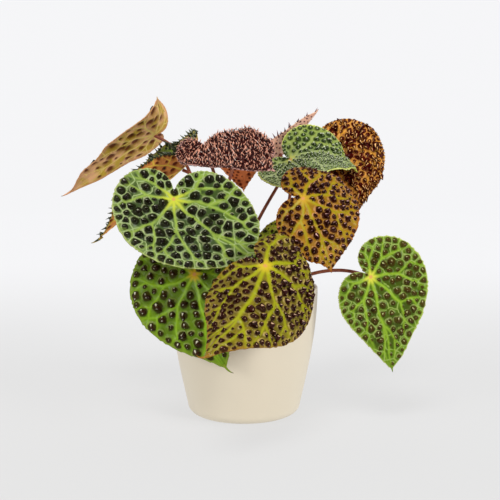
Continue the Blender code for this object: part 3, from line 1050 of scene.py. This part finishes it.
@dataclass(frozen=True)
class Petiole:
    """Stem of one leaf: where it grows from the rhizome and how it comes to the blade."""

    along: float                         # of its base on the rhizome, mm
    flank: float                         # -1 for the front of the rhizome, 1 for the rear
    rise: tuple[float, float]            # at the base: elevation, and reach in mm
    arrival: tuple[float, float, float]  # at the blade: heading, elevation, and reach in mm

    BASE_RADIUS = 1.7
    TOP_RADIUS = 1.5
    BASE_SLOPE = 50.0                    # of the rhizome's flank where it leaves it, in degrees
    GAP = 0.3                            # to the rhizome and to the blade, as in the solids
    SIDES = 14

    def path(self, blade: Blade, rhizome: "Rhizome", count: int = 56) -> Array:
        """Cubic curve from inside the rhizome's flank to the blade's underside.

        Args:
            blade: The blade it carries.
            rhizome: The stem it grows from.
            count: Number of points.

        Returns:
            Points in metres.
        """
        centre, run = rhizome.point(self.along), rhizome.run(self.along)
        sideways = unit(np.cross((0.0, 0.0, 1.0), run)) * self.flank
        slope = math.radians(self.BASE_SLOPE)
        outward = sideways * math.cos(slope) + np.array((0.0, 0.0, 1.0)) * math.sin(slope)
        junction = np.array(blade.at) * MM
        towards = junction - centre
        heading = math.degrees(math.atan2(towards[1], towards[0]))
        leaving = direction(heading, self.rise[0])
        start = self.seat(centre + outward * rhizome.radius * MM, outward, leaving, self.BASE_RADIUS)
        underside = -blade.axes()[2]
        arriving = direction(self.arrival[0], self.arrival[1])
        end = self.seat(junction + underside * 0.6 * MM, underside, arriving, self.TOP_RADIUS)
        first = start + leaving * self.rise[1] * MM
        second = end - arriving * self.arrival[2] * MM
        share = np.linspace(0.0, 1.0, count)[:, None]
        rest = 1.0 - share
        line = rest**3 * start + 3 * rest**2 * share * first + 3 * rest * share**2 * second + share**3 * end
        rooted = start - outward * 1.6 * MM
        seated = end + unit(arriving * 0.4 - underside) * 0.9 * MM
        return np.vstack((rooted, line, seated))

    def seat(self, surface: Array, outward: Array, along: Array, radius: float) -> Array:
        """Middle of the stem's end that clears a surface by the gap, however it leans."""
        lean = math.sqrt(max(0.0, 1.0 - float(np.dot(outward, along)) ** 2))
        return surface + outward * (self.GAP + radius * lean) * MM

    def build(self, blade: Blade, rhizome: "Rhizome") -> Shape:
        """Work out the stem: a swollen foot, an even taper, and a slight flare at the blade.

        Args:
            blade: The blade it carries.
            rhizome: The stem it grows from.

        Returns:
            The closed tube.
        """
        path = self.path(blade, rhizome)
        share = np.linspace(0.0, 1.0, len(path))
        even = self.BASE_RADIUS + (self.TOP_RADIUS - self.BASE_RADIUS) * share
        radii = even + 0.9 * np.exp(-share / 0.03) + 0.25 * np.exp(-(1.0 - share) / 0.02)
        return tube(path, radii * MM, self.SIDES)


@dataclass(frozen=True)
class Leaf:
    """One leaf: blade, petiole and finishes."""

    blade: Blade
    petiole: Petiole
    skin: BladeFinish
    cone: ConeFinish

    def build(self, rhizome: "Rhizome", stem: bpy.types.Material) -> None:
        """Make the blade, its cones, its curled point and its petiole.

        Args:
            rhizome: The stem it grows from.
            stem: Material of the petioles.
        """
        name = self.blade.name
        rim = self.skin.palette.rim
        skin, cones = self.blade.build()
        pieces = (("blade_", skin, self.skin.build("leaf_skin_" + name)),
                  ("cones_", cones, self.cone.build("cone_skin_" + name)),
                  ("point_", self.blade.point(),
                   ConeFinish(rim, self.cone.body, rim).build("point_skin_" + name)))
        for kind, shape, material in pieces:
            shape.dress(kind + name, material, "leaf_" + name, "leaf_" + name)
        self.petiole.build(self.blade, rhizome).dress("stalk_" + name, stem, "petiole", "petiole_" + name)
        log.info("leaf %s: %d skin points, %d cone points", name, len(skin.points), len(cones.points))


# --- Pot, soil and rhizome -------------------------------------------------------------------------

@dataclass(frozen=True)
class Rhizome:
    """Creeping stem on the soil, in a slight S. Millimetres."""

    finish: StemFinish
    radius: float = 4.5
    reach: float = 31.0          # from its middle to either end
    sway: float = 3.0            # of the S to either side
    level: float = 104.8         # height of its middle line
    shoulder: float = 27.0       # where the ends start to narrow

    SCAR_SPACING = 5.2

    def point(self, along: float) -> Array:
        """Centre at a distance along it, in metres."""
        return np.array((along, self.sway * math.sin(math.pi * along / self.reach), self.level)) * MM

    def run(self, along: float) -> Array:
        """Direction at a distance along it."""
        return unit(self.point(along + 1.0) - self.point(along - 1.0))

    def build(self) -> None:
        """Make the stem: a tube whose radius swells at each leaf scar."""
        distances = np.linspace(-self.reach, self.reach, 90)
        path = np.stack((distances, self.sway * np.sin(math.pi * distances / self.reach),
                         np.full(90, self.level)), axis=-1) * MM
        past = np.maximum(0.0, np.abs(distances) - self.shoulder) / (self.reach - self.shoulder)
        radii = self.radius * np.sqrt(np.maximum(0.0, 1.0 - 0.85 * past**2))
        scars = 0.05 * np.cos(distances * 2.0 * math.pi / self.SCAR_SPACING)
        radii = radii * (1.0 + scars + 0.03 * waves(distances[:, None], 4.0, 3))
        stem = tube(path, radii * MM, 28)
        stem = replace(stem, fields={"along": 0.5 * stem.fields["along"]})
        stem.dress("creeping_stem", self.finish.build("rhizome_skin"), "rhizome", "rhizome")
        log.info("rhizome: %d points", len(stem.points))


@dataclass(frozen=True)
class Pot:
    """Tapered plastic pot with a rounded rim and foot. Metres."""

    finish: PlasticFinish
    height: float = 0.117
    rim_radius: float = 0.067
    heel_radius: float = 0.0515
    heel_height: float = 0.009
    foot_radius: float = 0.0405
    wall: float = 0.0022
    floor: float = 0.003
    inner_heel: float = 0.012
    steps: int = 144

    def outside(self, heights: Array) -> Array:
        """Outer radius at heights above the heel: a quarter sine up to the rim."""
        share = (heights - self.heel_height) / (self.height - self.heel_height)
        return self.heel_radius + (self.rim_radius - self.heel_radius) * np.sin(0.5 * math.pi * share)

    def profile(self) -> Array:
        """Closed half section, from the inner floor's middle over the rim to the underside's middle."""
        top = self.height - 0.5 * self.wall
        turns = np.linspace(0.0, 0.5 * math.pi, 9)
        inner_floor = self.foot_radius - MM
        corner = float(self.outside(np.array(self.inner_heel))) - self.wall
        inner = np.stack((inner_floor + (corner - inner_floor) * np.sin(turns),
                          self.floor + (self.inner_heel - self.floor) * (1.0 - np.cos(turns))), axis=-1)
        rise = np.linspace(self.inner_heel, top, 22)[1:]
        inner_wall = np.stack((self.outside(rise) - self.wall, rise), axis=-1)
        over = np.linspace(math.pi, 0.0, 12)[1:-1]
        middle = self.rim_radius - 0.5 * self.wall
        lip = np.stack((middle + 0.5 * self.wall * np.cos(over),
                        top + 0.5 * self.wall * np.sin(over)), axis=-1)
        fall = np.linspace(top, self.heel_height, 30)
        outer_wall = np.stack((self.outside(fall), fall), axis=-1)
        back = turns[::-1][1:]
        foot = np.stack((self.foot_radius + (self.heel_radius - self.foot_radius) * np.sin(back),
                         self.heel_height * (1.0 - np.cos(back))), axis=-1)
        return np.vstack(((0.0, self.floor), inner, inner_wall, lip, outer_wall, foot, (0.0, 0.0)))

    def build(self) -> None:
        """Make the pot: its half section turned about the Z axis."""
        body = turned(self.profile(), self.steps)
        body.dress("pot_body", self.finish.build("pot_plastic"), "pot", "pot")
        log.info("pot: %d points", len(body.points))


@dataclass(frozen=True)
class Soil:
    """Potting soil: a block with an uneven top, and loose crumbs on it. Metres."""

    earth: EarthFinish
    crumb: EarthFinish
    level: float = 0.100
    radius: float = 0.0640
    bottom: float = 0.0034
    bottom_radius: float = 0.039
    crumbs: int = 420

    def surface(self, places: Array) -> Array:
        """Height of the top: level, with clods, dropping a little along the wall."""
        far = np.hypot(places[:, 0], places[:, 1])
        clods = 0.0007 * waves(places[:, :2], 0.011, 4) + 0.0004 * waves(places[:, :2], 0.004, 9)
        return self.level - 0.0006 + clods - 0.0015 * smooth_step(0.045, self.radius, far)

    def build(self) -> None:
        """Make the block and its crumbs."""
        rings = np.linspace(0.0, self.radius, 34)[1:]
        sink = np.linspace(1.0, 0.0, 8)[1:]
        side = np.stack((self.bottom_radius + (self.radius - self.bottom_radius) * sink**0.6,
                         self.bottom + (self.level - 0.002 - self.bottom) * sink), axis=-1)
        profile = np.vstack(((0.0, self.level), np.stack((rings, np.full(33, self.level)), axis=-1), side,
                             (0.0, self.bottom)))
        block = turned(profile, 96)
        high = block.points[:, 2] > self.level - 0.001
        block.points[high, 2] = self.surface(block.points[high])
        block.dress("soil_block", self.earth.build("soil_earth"), "soil", "soil")
        crumbs = self.scatter()
        crumbs.dress("soil_crumbs", self.crumb.build("soil_crumb"), "soil")
        log.info("soil: %d points, crumbs: %d points", len(block.points), len(crumbs.points))

    def scatter(self) -> Shape:
        """Loose crumbs: octahedra with uneven corners, turned and stretched at random."""
        count = self.crumbs
        draw = np.random.default_rng(21)
        far = (self.radius - 0.003) * np.sqrt(draw.uniform(0.0, 1.0, count))
        turn = draw.uniform(0.0, 2.0 * math.pi, count)
        spots = np.stack((far * np.cos(turn), far * np.sin(turn), np.zeros(count)), axis=-1)
        spots[:, 2] = self.surface(spots) + 0.0001
        corners = np.array(((1, 0, 0), (-1, 0, 0), (0, 1, 0), (0, -1, 0), (0, 0, 1), (0, 0, -1)), float)
        shape = corners[None] * draw.uniform(0.6, 1.3, (count, 6, 1))
        shape = shape * draw.uniform(0.5, 1.4, (count, 1, 3)) * draw.uniform(0.0004, 0.0013, (count, 1, 1))
        first = unit(draw.normal(size=(count, 3)))
        second = unit(np.cross(first, draw.normal(size=(count, 3))))
        frames = np.stack((first, second, np.cross(first, second)), axis=1)
        points = np.einsum("nij,njk->nik", shape, frames) + spots[:, None]
        faces = np.array(((0, 2, 4), (2, 1, 4), (1, 3, 4), (3, 0, 4),
                          (2, 0, 5), (1, 2, 5), (3, 1, 5), (0, 3, 5)))
        triangles = (faces[None] + 6 * np.arange(count)[:, None, None]).reshape(-1, 3)
        return Shape(points.reshape(-1, 3), triangles=triangles)


# --- Stage -----------------------------------------------------------------------------------------

@dataclass(frozen=True)
class Studio:
    """Pale sweep, soft lights and camera."""

    target: tuple[float, float, float] = (0.0055, 0.0, 0.150)
    distance: float = 1.07
    tilt: float = 8.0
    lens: float = 85.0

    PAPER = (103, 103, 103)              # the sweep's own colour, in screen values
    NEAR_GLOW = (0.63, 0.63, 0.63)       # what it gives out by itself under the plant
    FAR_GLOW = (0.755, 0.757, 0.772)     # and behind it
    LIGHTS = (("overhead", (-0.8, -3.2, 6.4), 2.7, 230.0, (1.0, 0.99, 0.97)),
              ("left_front", (-4.9, -4.6, 3.0), 2.1, 120.0, (1.0, 0.98, 0.96)),
              ("right_front", (5.2, -4.4, 2.8), 2.1, 230.0, (1.0, 0.99, 0.98)))
    SURROUND = (0.97, 0.98, 1.0, 1.0)
    SURROUND_STRENGTH = 0.42

    def build(self) -> None:
        """Make the sweep, the lights and the camera."""
        self.floor()
        for light in self.LIGHTS:
            self.area(*light)
        self.surround()
        self.camera()
        log.info("studio: %d lights", len(self.LIGHTS))

    def floor(self) -> None:
        """Floor that curves up into a backdrop: line, quarter circle of 1 m and line, carried across."""
        bend = np.linspace(0.0, 0.5 * math.pi, 24)
        along = np.concatenate(((-3.0, 0.0), 1.6 + np.sin(bend), (2.6,)))
        rise = np.concatenate(((0.0, 0.0), 1.0 - np.cos(bend), (4.0,)))
        across = np.linspace(-5.0, 5.0, 3)
        y, x = np.meshgrid(along, across, indexing="ij")
        z = np.repeat(rise[:, None], 3, axis=1)
        points = np.stack((x, y, z), axis=-1).reshape(-1, 3)
        sweep = Shape(points, grid_quads(len(along), 3)[:, ::-1]).piece("studio_sweep")
        graph = Graph("studio_paper")
        depth = graph.node("ShaderNodeSeparateXYZ", {}, {0: graph.place}, 1)
        glow = graph.mix(depth.step(0.05, 0.95), self.NEAR_GLOW, self.FAR_GLOW)
        sweep.data.materials.append(graph.finish(
            {"Base Color": linear(*self.PAPER), "Roughness": 0.9, "Specular IOR Level": 0.1,
             "Emission Color": glow, "Emission Strength": 1.0}))

    def surround(self) -> None:
        """Even pale light from all round."""
        world = bpy.context.scene.world or bpy.data.worlds.new("surround")
        bpy.context.scene.world = world
        world.use_nodes = True
        sky = world.node_tree.nodes["Background"]
        sky.inputs["Color"].default_value = self.SURROUND
        sky.inputs["Strength"].default_value = self.SURROUND_STRENGTH
        bpy.context.scene.view_settings.view_transform = "Standard"

    def area(self, name: str, spot: tuple[float, float, float], size: float, power: float,
             color: Color) -> None:
        """One square area light that points at the plant.

        Args:
            name: Name of the light.
            spot: Where it is, in metres.
            size: Its side in metres.
            power: Its power in watts.
            color: Its colour.
        """
        light = bpy.data.lights.new(name, "AREA")
        light.shape = "SQUARE"
        light.size = size
        light.energy = power
        light.color = color
        item = bpy.data.objects.new(name, light)
        item.location = spot
        item.rotation_euler = (Vector(self.target) - Vector(spot)).to_track_quat("-Z", "Y").to_euler()
        bpy.context.scene.collection.objects.link(item)

    def camera(self) -> None:
        """Camera in front of the plant that looks a little down on it."""
        data = bpy.data.cameras.new("view")
        data.lens = self.lens
        data.sensor_width = 36.0
        item = bpy.data.objects.new("view", data)
        lift = math.radians(self.tilt)
        item.location = (self.target[0], self.target[1] - self.distance * math.cos(lift),
                         self.target[2] + self.distance * math.sin(lift))
        item.rotation_euler = (math.radians(90.0 - self.tilt), 0.0, 0.0)
        bpy.context.scene.collection.objects.link(item)
        bpy.context.scene.camera = item


# --- The plant -------------------------------------------------------------------------------------

BIG_GREEN = Leaf(
    Blade("big_green", (-60, -52, 201), 90, -15, -44, 58, 134, (1.16, 1.29), (19, 22), (-6, -4), 0, 5, 21,
          Relief(spacing=9.2, core=0.58, bare=4.0, cluster=2.1, ribs=0.85, seed=11)),
    Petiole(-24, -1, (75, 60), (-86, -20, 40)),
    BladeFinish(Palette(tissue=(102, 124, 58), left=(112, 140, 42), deep=(46, 64, 24), vein=(146, 170, 70),
                        net=(158, 176, 116), cone=(26, 26, 8), rim=(118, 138, 66), hub=(196, 202, 56),
                        ring=(178, 182, 134)),
                stain=1.5, glow=14.0, sheen=0.4, depth=0.9, ring_and_highlight=0.6, edge=0.35),
    ConeFinish((24, 18, 8), (60, 52, 38), (196, 198, 170)))

LOW_GREEN = Leaf(
    Blade("low_green", (-42, -58, 137), 85, -75, -62, 32, 139, (1.20, 1.05), (0, 8), (-10, -9), -28, -21, 15,
          Relief(spacing=10.0, core=0.52, puff=1.1, ribs=0.8, bare=4.0, cluster=2.2, seed=12),
          tail=Tail(8.0, 20.0, 60.0)),
    Petiole(-16, -1, (60, 40), (-125, -15, 35)),
    BladeFinish(Palette(tissue=(104, 138, 12), left=(100, 136, 18), deep=(66, 88, 8), vein=(138, 178, 34),
                        net=(122, 152, 36), cone=(50, 42, 8), rim=(128, 150, 40), hub=(216, 180, 40),
                        ring=(150, 160, 84)),
                net_share=0.15, ring_and_highlight=0.6, depth=0.2),
    ConeFinish((48, 26, 10), (104, 76, 52), (212, 210, 184), glint_start=0.3))

OLIVE_FRONT = Leaf(
    Blade("olive_front", (18, -97, 150), 101, -113, -41, -24, -121, (1.07, 1.05), (-30, -23), (-42, -28), 5,
          -50, -20,
          Relief(spacing=7.4, core=0.65, height=3.2, ribs=1.2, cluster=2.4, seed=13),
          tail=Tail(9.0, 40.0, -120.0)),
    Petiole(2, -1, (46, 40), (-82, 0, 40)),
    BladeFinish(Palette(tissue=(120, 108, 26), left=(128, 120, 8), deep=(84, 66, 14), vein=(154, 156, 14),
                        net=(132, 112, 34), cone=(40, 10, 3), rim=(146, 104, 30), hub=(200, 176, 40),
                        under=(168, 116, 66), under_mottle=(150, 110, 60), under_vein=(190, 110, 60),
                        pit=(110, 40, 30), ring=(184, 160, 84)),
                net_share=0.6, depth=0.5),
    ConeFinish((44, 8, 5), (84, 38, 30), (206, 170, 132), glint_start=0.38))

GOLD_RIGHT = Leaf(
    Blade("gold_right", (52, -26, 199), 70, -51, -46, 24, -123, (1.25, 1.28), (-8, -8), (-20, -17), -24,
          -38, -9,
          Relief(spacing=7.2, core=0.66, height=3.4, low=0.7, cluster=2.0, ribs=0.9, seed=14),
          tail=Tail(2.0)),
    Petiole(20, 1, (85, 50), (-75, 25, 55)),
    BladeFinish(Palette(tissue=(156, 112, 10), left=(156, 122, 10), deep=(128, 78, 12), vein=(158, 142, 18),
                        net=(144, 104, 30), cone=(42, 5, 3), rim=(164, 92, 34), hub=(190, 150, 40),
                        under=(170, 110, 60), under_mottle=(150, 100, 50), under_vein=(190, 100, 50),
                        pit=(110, 36, 28), ring=(206, 148, 92)),
                net_share=0.6, depth=0.0),
    ConeFinish((40, 5, 5), (86, 34, 36), (226, 176, 164), glint_start=0.4))

HEART_RIGHT = Leaf(
    Blade("heart_right", (112, -30, 130), 85, -43, -69, 38, -140, (1, 1), (8, 5), (-11, -12), -22, -21, 0,
          Relief(spacing=8.0, core=0.60, bare=3.0, height=2.6, ribs=0.8, cluster=2.4, seed=15)),
    Petiole(24, -1, (36, 36), (-35, -18, 35)),
    BladeFinish(Palette(tissue=(88, 118, 8), left=(84, 116, 10), deep=(60, 76, 6), vein=(138, 172, 44),
                        net=(146, 168, 82), cone=(66, 56, 10), rim=(116, 146, 30), hub=(210, 208, 70),
                        under=(150, 130, 84), under_mottle=(130, 120, 70), under_vein=(180, 120, 76),
                        pit=(92, 50, 34), ring=(166, 178, 96)),
                stain=1.2, depth=0.9, ring_and_highlight=0.5, edge=0.6),
    ConeFinish((70, 50, 16), (112, 86, 40), (196, 200, 136), glint_start=0.4))

COPPER_TOP = Leaf(
    Blade("copper_top", (83, 78, 234), 67, -61, -50, 28, -138, (1.25, 1.0), (6, 8), (-10, -10), -15, -20, 6,
          Relief(spacing=5.4, core=0.86, height=6.4, foot=0.8, point=0.30, low=0.8, droop=0.8, bare=0.5,
                 ribs=0.6, fringe=2.4, tilt=0.3, cluster=2.4, sides=6, seed=16)),
    Petiole(12, 1, (50, 80), (-60, 15, 45)),
    BladeFinish(Palette(tissue=(222, 140, 50), left=(206, 144, 44), deep=(110, 26, 12), vein=(206, 140, 44),
                        net=(228, 156, 70), cone=(72, 10, 6), rim=(204, 148, 40), hub=(190, 140, 40),
                        under=(180, 116, 72), under_mottle=(160, 100, 60), under_vein=(190, 104, 60),
                        pit=(112, 40, 34), ring=(230, 180, 84)),
                rim_width=9.0, stain=1.3, net_share=0.7, vein_share=0.3, depth=0.8),
    ConeFinish((70, 10, 6), (50, 7, 4), (255, 200, 128), change=0.75, glint_start=0.42))

FOLDED_GREEN = Leaf(
    Blade("folded_green", (44, 54, 228), 67, -5, 34, 29, 115, (1.18, 1.36), (39, 4), (0, -5), -86, 75, -20,
          Relief(spacing=6.2, core=0.66, height=3.4, foot=0.9, puff=0.6, halves=(1.0, 0.5), ribs=0.6,
                 seed=17),
          cells_across=140, tail=Tail(4.0)),
    Petiole(-3.5, 1, (86, 50), (-2, 60, 60)),
    # Dark green round each cone's foot, and the dark lower half of each cone, is painted shade at the cones'
    # base
    BladeFinish(Palette(tissue=(164, 174, 132), left=(130, 146, 58), deep=(84, 108, 46), vein=(150, 166, 84),
                        net=(150, 168, 92), cone=(48, 62, 24), rim=(196, 204, 76), hub=(204, 200, 90),
                        under=(160, 140, 84), under_mottle=(140, 130, 70), under_vein=(180, 130, 80),
                        pit=(100, 60, 44), ring=(170, 184, 128)),
                rim_width=2.4, net_share=0.4, vein_share=0.5, ring_and_highlight=0.5, edge=0.8),
    ConeFinish((44, 60, 26), (206, 214, 180), (238, 240, 212), change=0.5, glint_start=0.36))

YOUNG_PINK = Leaf(
    Blade("young_pink", (34, 84, 232), 54, 0, 49, -16, 135, (0.62, 0.6), (0, 50), (0, 0), 0, 60, 0,
          Relief(spacing=4.4, core=0.42, height=6.0, foot=0.4, puff=0.3, sides=5, low=1.0, bare=0.3,
                 fringe=5.5, seed=18),
          cells_across=100, coarse=1),
    Petiole(6, 1, (68, 60), (150, 60, 68)),
    BladeFinish(Palette(tissue=(150, 110, 96), deep=(130, 92, 88), vein=(196, 150, 120), net=(170, 120, 108),
                        cone=(96, 66, 70), rim=(236, 190, 160), hub=(200, 160, 120),
                        # Underside colours lightened to paint the light that shines through the thin young
                        # leaf
                        under=(255, 212, 190), under_mottle=(248, 190, 162), under_vein=(250, 206, 180),
                        pit=(120, 44, 36)),
                rim_width=3.0),
    ConeFinish((90, 56, 66), (150, 110, 120), (220, 200, 200), change=0.5))

YOUNG_PURPLE = Leaf(
    Blade("young_purple", (-34, 0, 241), 76, -40, -5, 24, 137, (0.68, 1.35), (6, 0), (0, 0), -15, 240, 0,
          Relief(spacing=2.9, core=0.60, height=4.6, foot=0.3, puff=0.2, point=0.4, sides=5, low=1.0,
                 bare=0.2, ribs=0.25, fringe=3.0, tilt=0.42, seed=19),
          cells_across=120),
    Petiole(-8, -1, (82, 60), (-110, 45, 50)),
    BladeFinish(Palette(tissue=(64, 20, 14), deep=(46, 12, 10), vein=(90, 40, 30), net=(70, 24, 20),
                        cone=(40, 8, 8), rim=(210, 160, 150), hub=(120, 80, 60),
                        under=(190, 110, 80), under_mottle=(170, 90, 66), under_vein=(160, 96, 84),
                        pit=(84, 26, 20)),
                rim_width=2.5, vein_share=0.2, net_share=0.2, ring_and_highlight=0.0),
    ConeFinish((56, 12, 12), (236, 168, 140), (255, 230, 216), change=0.42))

BROWN_BACK = Leaf(
    Blade("brown_back", (-3, 44, 238), 48, 85, -55, 0, -135, (1, 1), (10, 10), (0, 0), 0, 0, 0,
          Relief(spacing=5.0, height=2.4, seed=20), cells_across=80, coarse=1),
    Petiole(-10.5, 1, (70, 60), (0, 60, 50)),
    BladeFinish(Palette(tissue=(120, 116, 50), deep=(100, 90, 46), vein=(170, 150, 80), net=(130, 120, 64),
                        cone=(60, 30, 26), rim=(230, 160, 110), hub=(180, 150, 80),
                        under=(226, 130, 76), under_mottle=(200, 110, 64), under_vein=(210, 120, 70),
                        pit=(80, 16, 8)),
                rim_width=3.0),
    ConeFinish((60, 30, 26), (130, 100, 80), (190, 160, 140)))

TAN_FAR_LEFT = Leaf(
    Blade("tan_far_left", (-87, 90, 250.5), 99, 180, -33, 27, -137, (0.84, 0.70), (-5, -2), (-5, 5), -10,
          250, 16,
          Relief(spacing=10.4, core=0.9, height=0.6, puff=1.8, low=0.1, bare=10.0, seed=31),
          cells_across=110, coarse=1, tail=Tail(9.0, 10.0, 20.0)),
    Petiole(-24, 1, (65, 90), (-150, 22, 50)),
    BladeFinish(Palette(tissue=(104, 132, 50), deep=(80, 100, 44), vein=(190, 180, 90), net=(140, 150, 70),
                        cone=(44, 48, 34), rim=(208, 150, 108), hub=(200, 190, 90),
                        under=(196, 164, 56), under_mottle=(234, 178, 130), under_vein=(232, 206, 116),
                        pit=(92, 32, 18)),
                rim_width=10.0),
    ConeFinish((50, 54, 40), (120, 110, 80), (190, 190, 160)))

BROWN_LEFT = Leaf(
    Blade("brown_left", (-57, 34, 221), 103, 180, -40, 12, 135, (1.0, 1.1), (30, 45), (5, 10), 0, 160, 0,
          Relief(spacing=9.0, core=0.5, height=5.0, foot=1.8, puff=0.9, low=1.0, bare=0.5, point=0.3,
                 fringe=6.5, seed=22),
          cells_across=110, coarse=1, tail=Tail(9.0, 30.0, -30.0)),
    Petiole(-17, 1, (72, 55), (150, 15, 40)),
    BladeFinish(Palette(tissue=(116, 140, 56), deep=(90, 110, 48), vein=(180, 180, 90), net=(140, 150, 74),
                        cone=(44, 48, 34), rim=(176, 150, 70), hub=(214, 190, 80),
                        # Underside colours lightened as painted light, to lift the shade this leaf stands in
                        under=(250, 170, 84), under_mottle=(224, 146, 80), under_vein=(246, 214, 80),
                        pit=(96, 24, 14)),
                stain=0.9),
    ConeFinish((56, 62, 42), (110, 104, 80), (170, 180, 150), change=0.6))

SMALL_MIDDLE = Leaf(
    Blade("small_middle", (38, -12, 162), 46, -115, -60, 0, 135, (1, 1), (5, 5), (-10, -10), -20, -10, 0,
          Relief(spacing=6.4, height=2.6, seed=23), cells_across=100),
    Petiole(8, -1, (70, 25), (-110, 10, 20)),
    # Tissue lightened as painted light, to lift the shade of the leaves above it
    BladeFinish(Palette(tissue=(196, 226, 56), deep=(150, 182, 36), vein=(216, 216, 100), net=(140, 150, 60),
                        cone=(50, 44, 10), rim=(160, 150, 50), hub=(190, 180, 70),
                        under=(150, 120, 80), under_mottle=(140, 110, 70), under_vein=(170, 110, 70)),
                rim_width=3.0),
    ConeFinish((46, 40, 14), (100, 90, 66), (190, 190, 150)))

LEAVES = (BIG_GREEN, LOW_GREEN, OLIVE_FRONT, GOLD_RIGHT, HEART_RIGHT, COPPER_TOP, FOLDED_GREEN, YOUNG_PINK,
          YOUNG_PURPLE, BROWN_BACK, TAN_FAR_LEFT, BROWN_LEFT, SMALL_MIDDLE)
POT = Pot(PlasticFinish(body=(232, 222, 200), shade=(226, 214, 190)))
SOIL = Soil(earth=EarthFinish(body=(56, 40, 28), fleck=(140, 112, 84)),
            crumb=EarthFinish(body=(62, 44, 32), fleck=(150, 120, 90)))
RHIZOME = Rhizome(StemFinish(body=(104, 66, 44), streak=(140, 100, 66), tip=(120, 80, 50)))
PETIOLE_SKIN = StemFinish(body=(128, 58, 38), streak=(160, 92, 58), tip=(150, 70, 46))


def main() -> None:
    """Build the dressed plant, its stage, lights and camera."""
    logging.basicConfig(level=logging.INFO, format="%(name)s: %(message)s")
    log.info("frame: %d nodes", len(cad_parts))
    POT.build()
    SOIL.build()
    RHIZOME.build()
    stem = PETIOLE_SKIN.build("petiole_skin")
    for leaf in LEAVES:
        leaf.build(RHIZOME, stem)
    Studio().build()


if __name__ == "__main__":
    main()
